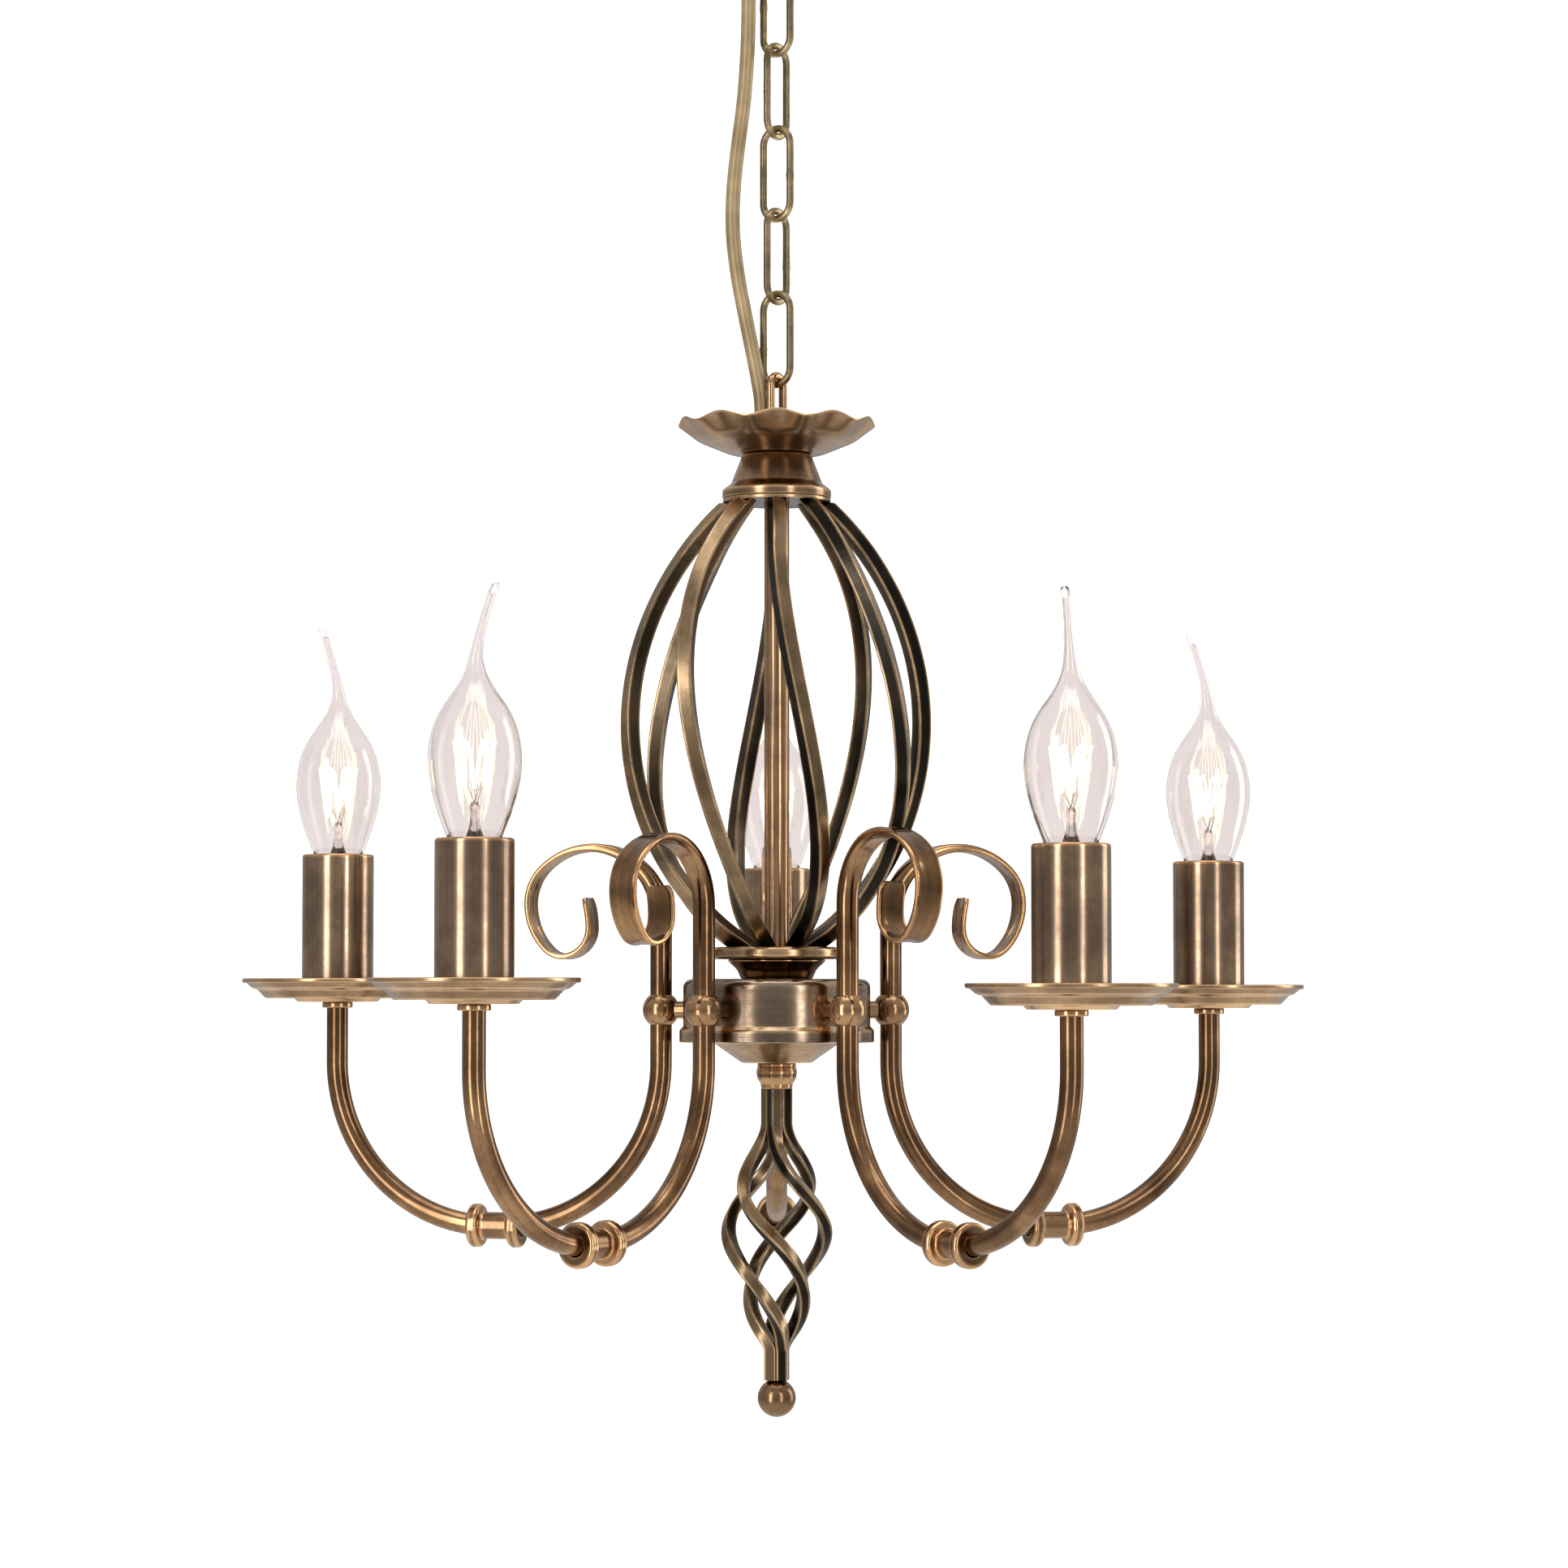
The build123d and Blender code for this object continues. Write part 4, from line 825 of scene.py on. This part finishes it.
def arm(number):
    """A tube bent in a U that ends in a scroll, where it is hammered flat.

    Along the scroll the round section goes over to a strip: half width and half thickness ease from the
    tube's radius, by s*s*(3 - 2s), and the strip's faces sink between raised edges.
    """
    size = SCROLL_SIZES[number - 1]
    start = SCROLL_STARTS[number - 1]
    bend_top = ARM_BEND_R - ARM_DROP
    moves = [
        (TUBE_TOP - bend_top, 0), (ARM_BEND_R, -90), (ARM_FLAT, 0), (ARM_BEND_R, -90), (start - bend_top, 0)
    ]
    line = bent((ARM_REACH, TUBE_TOP), (0, -1), moves, 2.0)
    scroll = bent(
        (ARM_ROOT, start), (0, 1), [(radius * size, -turn) for radius, turn in SCROLL_BENDS], 1.0
    )[1:]
    line = np.concatenate([line, scroll])
    path = stood(line + [0, RIM_MM], TURNS[number - 1])
    across = np.array([sin(TURNS[number - 1]), -cos(TURNS[number - 1]), 0.0])
    side, lift = steered(path, np.broadcast_to(across, path.shape))
    share = np.zeros(len(line))
    share[-len(scroll):] = np.linspace(0, 1, len(scroll))
    eased = np.clip(share / FLATTENED_BY, 0, 1)
    eased = (eased * eased * (3 - 2 * eased))[:, None]
    angle = np.linspace(0, 2 * pi, 40, endpoint=False)[None]
    power = 1 - 0.42 * eased
    wide = np.sign(np.cos(angle)) * np.abs(np.cos(angle)) ** power
    thick = np.sign(np.sin(angle)) * np.abs(np.sin(angle)) ** power
    half_width = TUBE_R + (STRIP_HALF - TUBE_R) * eased
    half_thick = TUBE_R + (STRIP_EDGE - TUBE_R) * eased
    dish = 1 - 0.42 * eased * np.exp(-((wide / 0.62) ** 4))
    tip = np.clip((share[:, None] - 0.975) / 0.025, 0, 1)
    section = np.stack([wide * half_width * (1 - 0.25 * tip**2), thick * half_thick * dish], -1)
    worn = eased * np.clip((np.abs(wide) - 0.78) / 0.12, 0, 1) + 0.08
    return sweep(path, side, lift, section, np.clip(worn, 0, 1))


for number in range(1, 6):
    skin(f"bent_arm_{number}", [arm(number)], COPPERY, "pendant", [f"arm_tube_{number}"])

BALL_R, NECK_R = 7.6, 3.6
ball_parts, knuckle_parts, collar_parts = [], [], []
ball_angle = np.linspace(0.64, pi - 0.64, 36)
ball_outline = np.stack([BALL_R * np.sin(ball_angle), -BALL_R * np.cos(ball_angle)], 1)
ball_outline = np.concatenate([ball_outline, [(4.5, ball_outline[-1, 1]), (4.5, ball_outline[0, 1])]])
neck_outline, _ = rounded(
    [(0, 30.3), (NECK_R, 30.3), (NECK_R, 44.0), (0, 44.0)], [0, 0, 0, 0], closed=True
)
neck_outline[:2, 1] = 38.35
ring = [(4.55, -11.2), (8.2, -11.2), (9.0, -10.2), (9.0, -7.2), (8.2, -6.2), (5.6, -5.9), (5.6, 5.9), (8.2, 6.2),
        (9.0, 7.2), (9.0, 10.2), (8.2, 11.2), (4.55, 11.2)]
ring_radii = [0.2, 1.2, 1.2, 1.2, 0.7, 0.8, 0.8, 0.7, 1.2, 1.2, 1.2, 0.2]
knuckle_outline, knuckle_worn = rounded(ring, ring_radii, closed=True)
collar_outline, collar_worn = rounded(
    [(4.55, -10.0), (6.4, -10.0), (6.4, -12.5), (4.55, -12.5)], [0, 0.6, 0.6, 0], closed=True
)
for (x, y), turn, lift in zip(CANDLES, TURNS, LIFTS):
    out = np.array([cos(turn), sin(turn), 0.0])
    ball_parts.append(
        lathe(ball_outline, 0.3 + 0 * ball_outline[:, 0], out * ARM_ROOT + [0, 0, RIM_MM + BALL_Z], sides=64)
    )
    ball_parts.append(
        lathe(neck_outline, 0.2 + 0 * neck_outline[:, 0], (0, 0, RIM_MM + BALL_Z), sides=32, axis=out)
    )
    middle = out * (ARM_REACH + ARM_ROOT) / 2 + [0, 0, RIM_MM - ARM_DROP]
    knuckle_parts.append(lathe(knuckle_outline, knuckle_worn, middle, sides=64, axis=out))
    collar_parts.append(lathe(collar_outline, collar_worn, (x / MM, y / MM, RIM_MM + lift), sides=64))
skin("hub_balls", ball_parts, TURNED, "pendant", ["arm_balls"])
skin("double_ring_knuckles", knuckle_parts, TURNED, "pendant", ["arm_knuckles"])
skin("pan_collars_turned", collar_parts, TURNED, "pendant", ["pan_collars"])

# ---------------------------------------------------------------- candles

pan_line, pan_worn = sheet_outline(
    [(4.95, -9.6), (16.6, -9.6), (18.0, -8.1), (30.0, -8.1), (33.4, -4.5), (35.6, -3.8), (39.5, -0.5)],
    [0.6, 0.6, 1.2, 0.8, 0.8], 0.8,
)
# The pan's rim is rolled over into a bead.
bead_line = circle(1.05, 14) + [38.9, -1.08]
bead_worn = 0.4 + 0 * bead_line[:, 0]
sleeve_line, sleeve_worn = rounded(
    [(14.0, -9.1), (15.0, -9.1), (15.0, 52.0), (13.5, 52.0), (13.5, 51.1), (14.0, 50.4)],
    [0.2, 0.2, 1.0, 0.3, 0.2, 0.2], closed=True,
)
BULB_LENGTH = 96.0
BULB_FOOT = -8.0  # the envelope starts this far under the sleeve's top
bulb_line = through(
    [(7.3, BULB_FOOT), (10.35, 0.0), (17.7, 28.8), (12.92, 48.0), (4.56, 61.44), (2.4, 72.0), (1.7, 96.0)], 90,
    ends=[(0.3469, 0.9379), (-0.0351, 0.9994)],
)
TAILS = [250.0, 170.0, 200.0, 175.0, 5.0]
TAIL_START, TAIL_BEND = 0.66, 8.0
GLASS_WALL = 0.8
SLEEVE_TOP = 52.0


def leant(points, lean):
    """Above the tail's start, everything is carried aside by bend * share ** 1.6 of its rise."""
    rise = (points[..., 2] - points[0, 0, 2] + BULB_FOOT) / BULB_LENGTH
    aside = TAIL_BEND * np.clip((rise - TAIL_START) / (1 - TAIL_START), 0, None) ** 1.6
    return points + aside[..., None] * [cos(lean), sin(lean), 0]


def envelope(middle, lean):
    """The blown envelope: outside up to the rounded tip, and the inside, a wall smaller, as a second skin."""
    tip_angle = np.linspace(0, pi / 2, 6)[1:, None]
    tip = np.array([(1.65, 94.3)]) + 1.6 * np.concatenate([np.cos(tip_angle) - 1, np.sin(tip_angle)], 1)
    outer = np.concatenate([[(0.0, BULB_FOOT)], bulb_line[bulb_line[:, 1] < 94.3], tip])
    outer[-1, 0] = 0.0
    kept = bulb_line[bulb_line[:, 1] < 91.5]
    inner = np.concatenate([[(0.0, -7.2)], np.stack([kept[:, 0] - GLASS_WALL, kept[:, 1] + 0.4], 1)])
    inner = inner[np.concatenate([[True], inner[1:, 1] > -7.0])]
    inner = np.concatenate([inner, [(0.5, inner[-1, 1] + 0.5), (0.0, inner[-1, 1] + 0.8)]])
    parts = []
    for line, hollow in ((outer, []), (inner, ["hollow"])):
        points, worn, place, _ = lathe(line, 0 * line[:, 0], middle + [0, 0, SLEEVE_TOP], sides=64)
        parts.append((leant(points, lean), worn, place, False, *hollow))
    return parts


def lamp_inside(middle):
    """Glass foot with a flat pinch on top, two lead wires, and a coiled wire hung in a crown of hairpins."""
    foot_line = np.array(
        [(0, -7.0), (5.2, -7.0), (4.6, -3.0), (2.2, 4.0), (1.7, 9.0), (2.0, 12.0), (1.2, 13.6), (0, 13.8)]
    )
    stem = lathe(foot_line, 0 * foot_line[:, 0], middle + [0, 0, SLEEVE_TOP], sides=32)
    share = np.linspace(0, 1, 241)
    around = share * 2 * pi * 0.88 + 0.4
    wave = 0.5 + 0.5 * np.cos(share * 14 * pi)
    reach = 5.2 + 3.0 * wave
    crown = np.stack(
        [reach * np.cos(around), reach * np.sin(around), SLEEVE_TOP + 19.0 + 17.0 * wave], 1
    ) + middle
    facing = np.broadcast_to(np.array([0.3, 0.2, 1.0]), crown.shape)
    wire = sweep(crown, *steered(crown, facing), circle(0.42, 8), 0.0)
    lines = []
    for end, aside in ((0, -0.6), (-1, 0.6)):
        lead = np.linspace(middle + [aside, 0, SLEEVE_TOP + 12.0], crown[end], 12)
        lines.append((lead, circle(0.25, 8)))
    for hook in range(4):
        spot = crown[int((0.14 + 0.24 * hook) * 240)]
        support = np.linspace(middle + [0, 0, SLEEVE_TOP + 13.4], spot, 8)
        lines.append((support, circle(0.14, 6)))
    leads = []
    for line, section in lines:
        facing = np.broadcast_to(np.array([0.1, 1.0, 0.1]), line.shape)
        leads.append(sweep(line, *steered(line, facing), section, 0.0))
    return stem, wire, leads


for number, (x, y) in enumerate(CANDLES, 1):
    middle = np.array([x / MM, y / MM, RIM_MM + LIFTS[number - 1]])
    skin(
        f"spun_pan_{number}",
        [lathe(pan_line, pan_worn, middle, sides=128), lathe(bead_line, bead_worn, middle, sides=128)],
        SPUN, "pendant", [f"drip_pan_{number}"],
    )
    skin(
        f"sleeve_tube_{number}", [lathe(sleeve_line, sleeve_worn, middle, sides=96)], DRAWN, f"sleeve_{number}",
        [f"candle_sleeve_{number}"],
    )
    body = f"lamp_{number}"
    outer, inner = envelope(middle, radians(TAILS[number - 1]))
    skin(f"lamp_envelope_{number}", [outer, inner], GLASS, body, [f"lamp_glass_{number}"])
    stem, wire, leads = lamp_inside(middle)
    skin(f"lamp_stem_{number}", [stem], GLASS, body)
    skin(f"lamp_filament_{number}", [wire], GLOW, body)
    skin(f"lamp_leads_{number}", leads, STEEL, body)

# ---------------------------------------------------------------- CAD pieces that keep their shape

KEPT = {
    "ceiling_strap": STEEL, "hook_nut": STEEL, "stem_nuts": STEEL, "arm_nuts": STEEL, "canopy_screws": TURNED,
    "terminal_block": INSULATION, "flex_bush": INSULATION, "hub_connector": INSULATION,
    "inner_wires": INSULATION, "lampholders": INSULATION,
}
KEPT.update({f"lamp_cap_{number}": TURNED for number in range(1, 6)})
for node, material in KEPT.items():
    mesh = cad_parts[node].data
    mesh.materials.clear()
    mesh.materials.append(material)

# ---------------------------------------------------------------- floor and light


STAGE_GLOW = 0.62


def stage_material(name, code):
    """Matt painted board, with a very faint unevenness of the roller, a few centimetres across."""
    material, tree, shader = finish_of(name, {"Roughness": 0.85})
    where = add_node(tree, "ShaderNodeTexCoord").outputs["Object"]
    uneven = add_node(tree, "ShaderNodeTexNoise", {"Vector": where, "Scale": 8.0}).outputs["Fac"]
    tone = tone_ramp(tree, uneven, [(0.0, code), (1.0, "#f4f3f1")])
    tree.links.new(tone, shader.inputs["Base Color"])
    tree.links.new(tone, shader.inputs["Emission Color"])
    shader.inputs["Emission Strength"].default_value = STAGE_GLOW
    return material


FLOOR_Z = -1.9
sweep_line = bent((-3.2, FLOOR_Z), (1, 0), [(5.6, 0), (1.4, 90), (4.2, 0)], 0.05)
width = np.linspace(-6.0, 6.0, 3)
floor_points = np.stack(
    [np.broadcast_to(width, (len(sweep_line), 3)), np.broadcast_to(sweep_line[:, :1], (len(sweep_line), 3)),
     np.broadcast_to(sweep_line[:, 1:], (len(sweep_line), 3))], -1
)
rows = len(sweep_line)
row, column = np.meshgrid(np.arange(rows - 1), np.arange(2), indexing="ij")
floor_faces = np.stack([row * 3 + column, row * 3 + column + 1, row * 3 + column + 4, row * 3 + column + 3], -1)
floor_mesh = bpy.data.meshes.new("floor")
floor_mesh.from_pydata(floor_points.reshape(-1, 3), [], floor_faces.reshape(-1, 4).tolist())
floor_mesh.shade_smooth()
floor_mesh.materials.append(stage_material("painted_floor", "#eeedeb"))
floor = bpy.data.objects.new("floor", floor_mesh)
bpy.context.collection.objects.link(floor)
floor.visible_glossy = False  # polished metal reflects the studio's dark side instead


def softbox(name, place, aim, size, power):
    lamp = bpy.data.lights.new(name, "AREA")
    lamp.shape = "RECTANGLE"
    lamp.size, lamp.size_y = size
    lamp.energy = power
    holder = bpy.data.objects.new(name, lamp)
    bpy.context.collection.objects.link(holder)
    holder.location = place
    holder.rotation_euler = (Vector(aim) - Vector(place)).to_track_quat("-Z", "Y").to_euler()


MIDDLE = (0.0, 0.0, RIM)
softbox("key_left", (-0.95, -1.25, RIM + 0.1), MIDDLE, (0.4, 1.7), 11.0)
softbox("front_strip", (0.85, -1.5, RIM + 0.1), MIDDLE, (0.22, 1.7), 7.0)
softbox("right_strip", (1.9, 0.5, RIM + 0.3), MIDDLE, (0.7, 2.0), 12.0)
softbox("top", (0.0, -0.2, 1.1), MIDDLE, (1.4, 1.0), 9.0)

world = bpy.data.worlds.new("studio")
bpy.context.scene.world = world
world.use_nodes = True
sky = world.node_tree
direction = add_node(sky, "ShaderNodeTexCoord").outputs["Generated"]
up = add_node(sky, "ShaderNodeSeparateXYZ", {"Vector": direction}).outputs["Z"]
below = add_node(
    sky, "ShaderNodeMapRange",
    {"Value": up, "From Min": -0.1, "From Max": -0.65, "To Min": 0.0, "To Max": 0.7},
).outputs["Result"]
above = add_node(
    sky, "ShaderNodeMapRange", {"Value": up, "From Min": 0.0, "From Max": 0.7, "To Min": 0.42, "To Max": 0.75}
).outputs["Result"]
studio = add_node(sky, "ShaderNodeMath", {0: below, 1: above}, operation="ADD").outputs[0]
path_kind = add_node(sky, "ShaderNodeLightPath")
seen = add_node(
    sky, "ShaderNodeMath",
    {0: path_kind.outputs["Is Camera Ray"], 1: path_kind.outputs["Is Transmission Ray"]}, operation="MAXIMUM",
).outputs[0]
strength = add_node(
    sky, "ShaderNodeMapRange", {"Value": seen, "To Min": studio, "To Max": 0.95}
).outputs["Result"]
background = sky.nodes["Background"]
background.inputs["Color"].default_value = linear("#fbfaf8")
sky.links.new(strength, background.inputs["Strength"])
bpy.context.scene.view_settings.view_transform = "Standard"

bpy.context.view_layer.update()
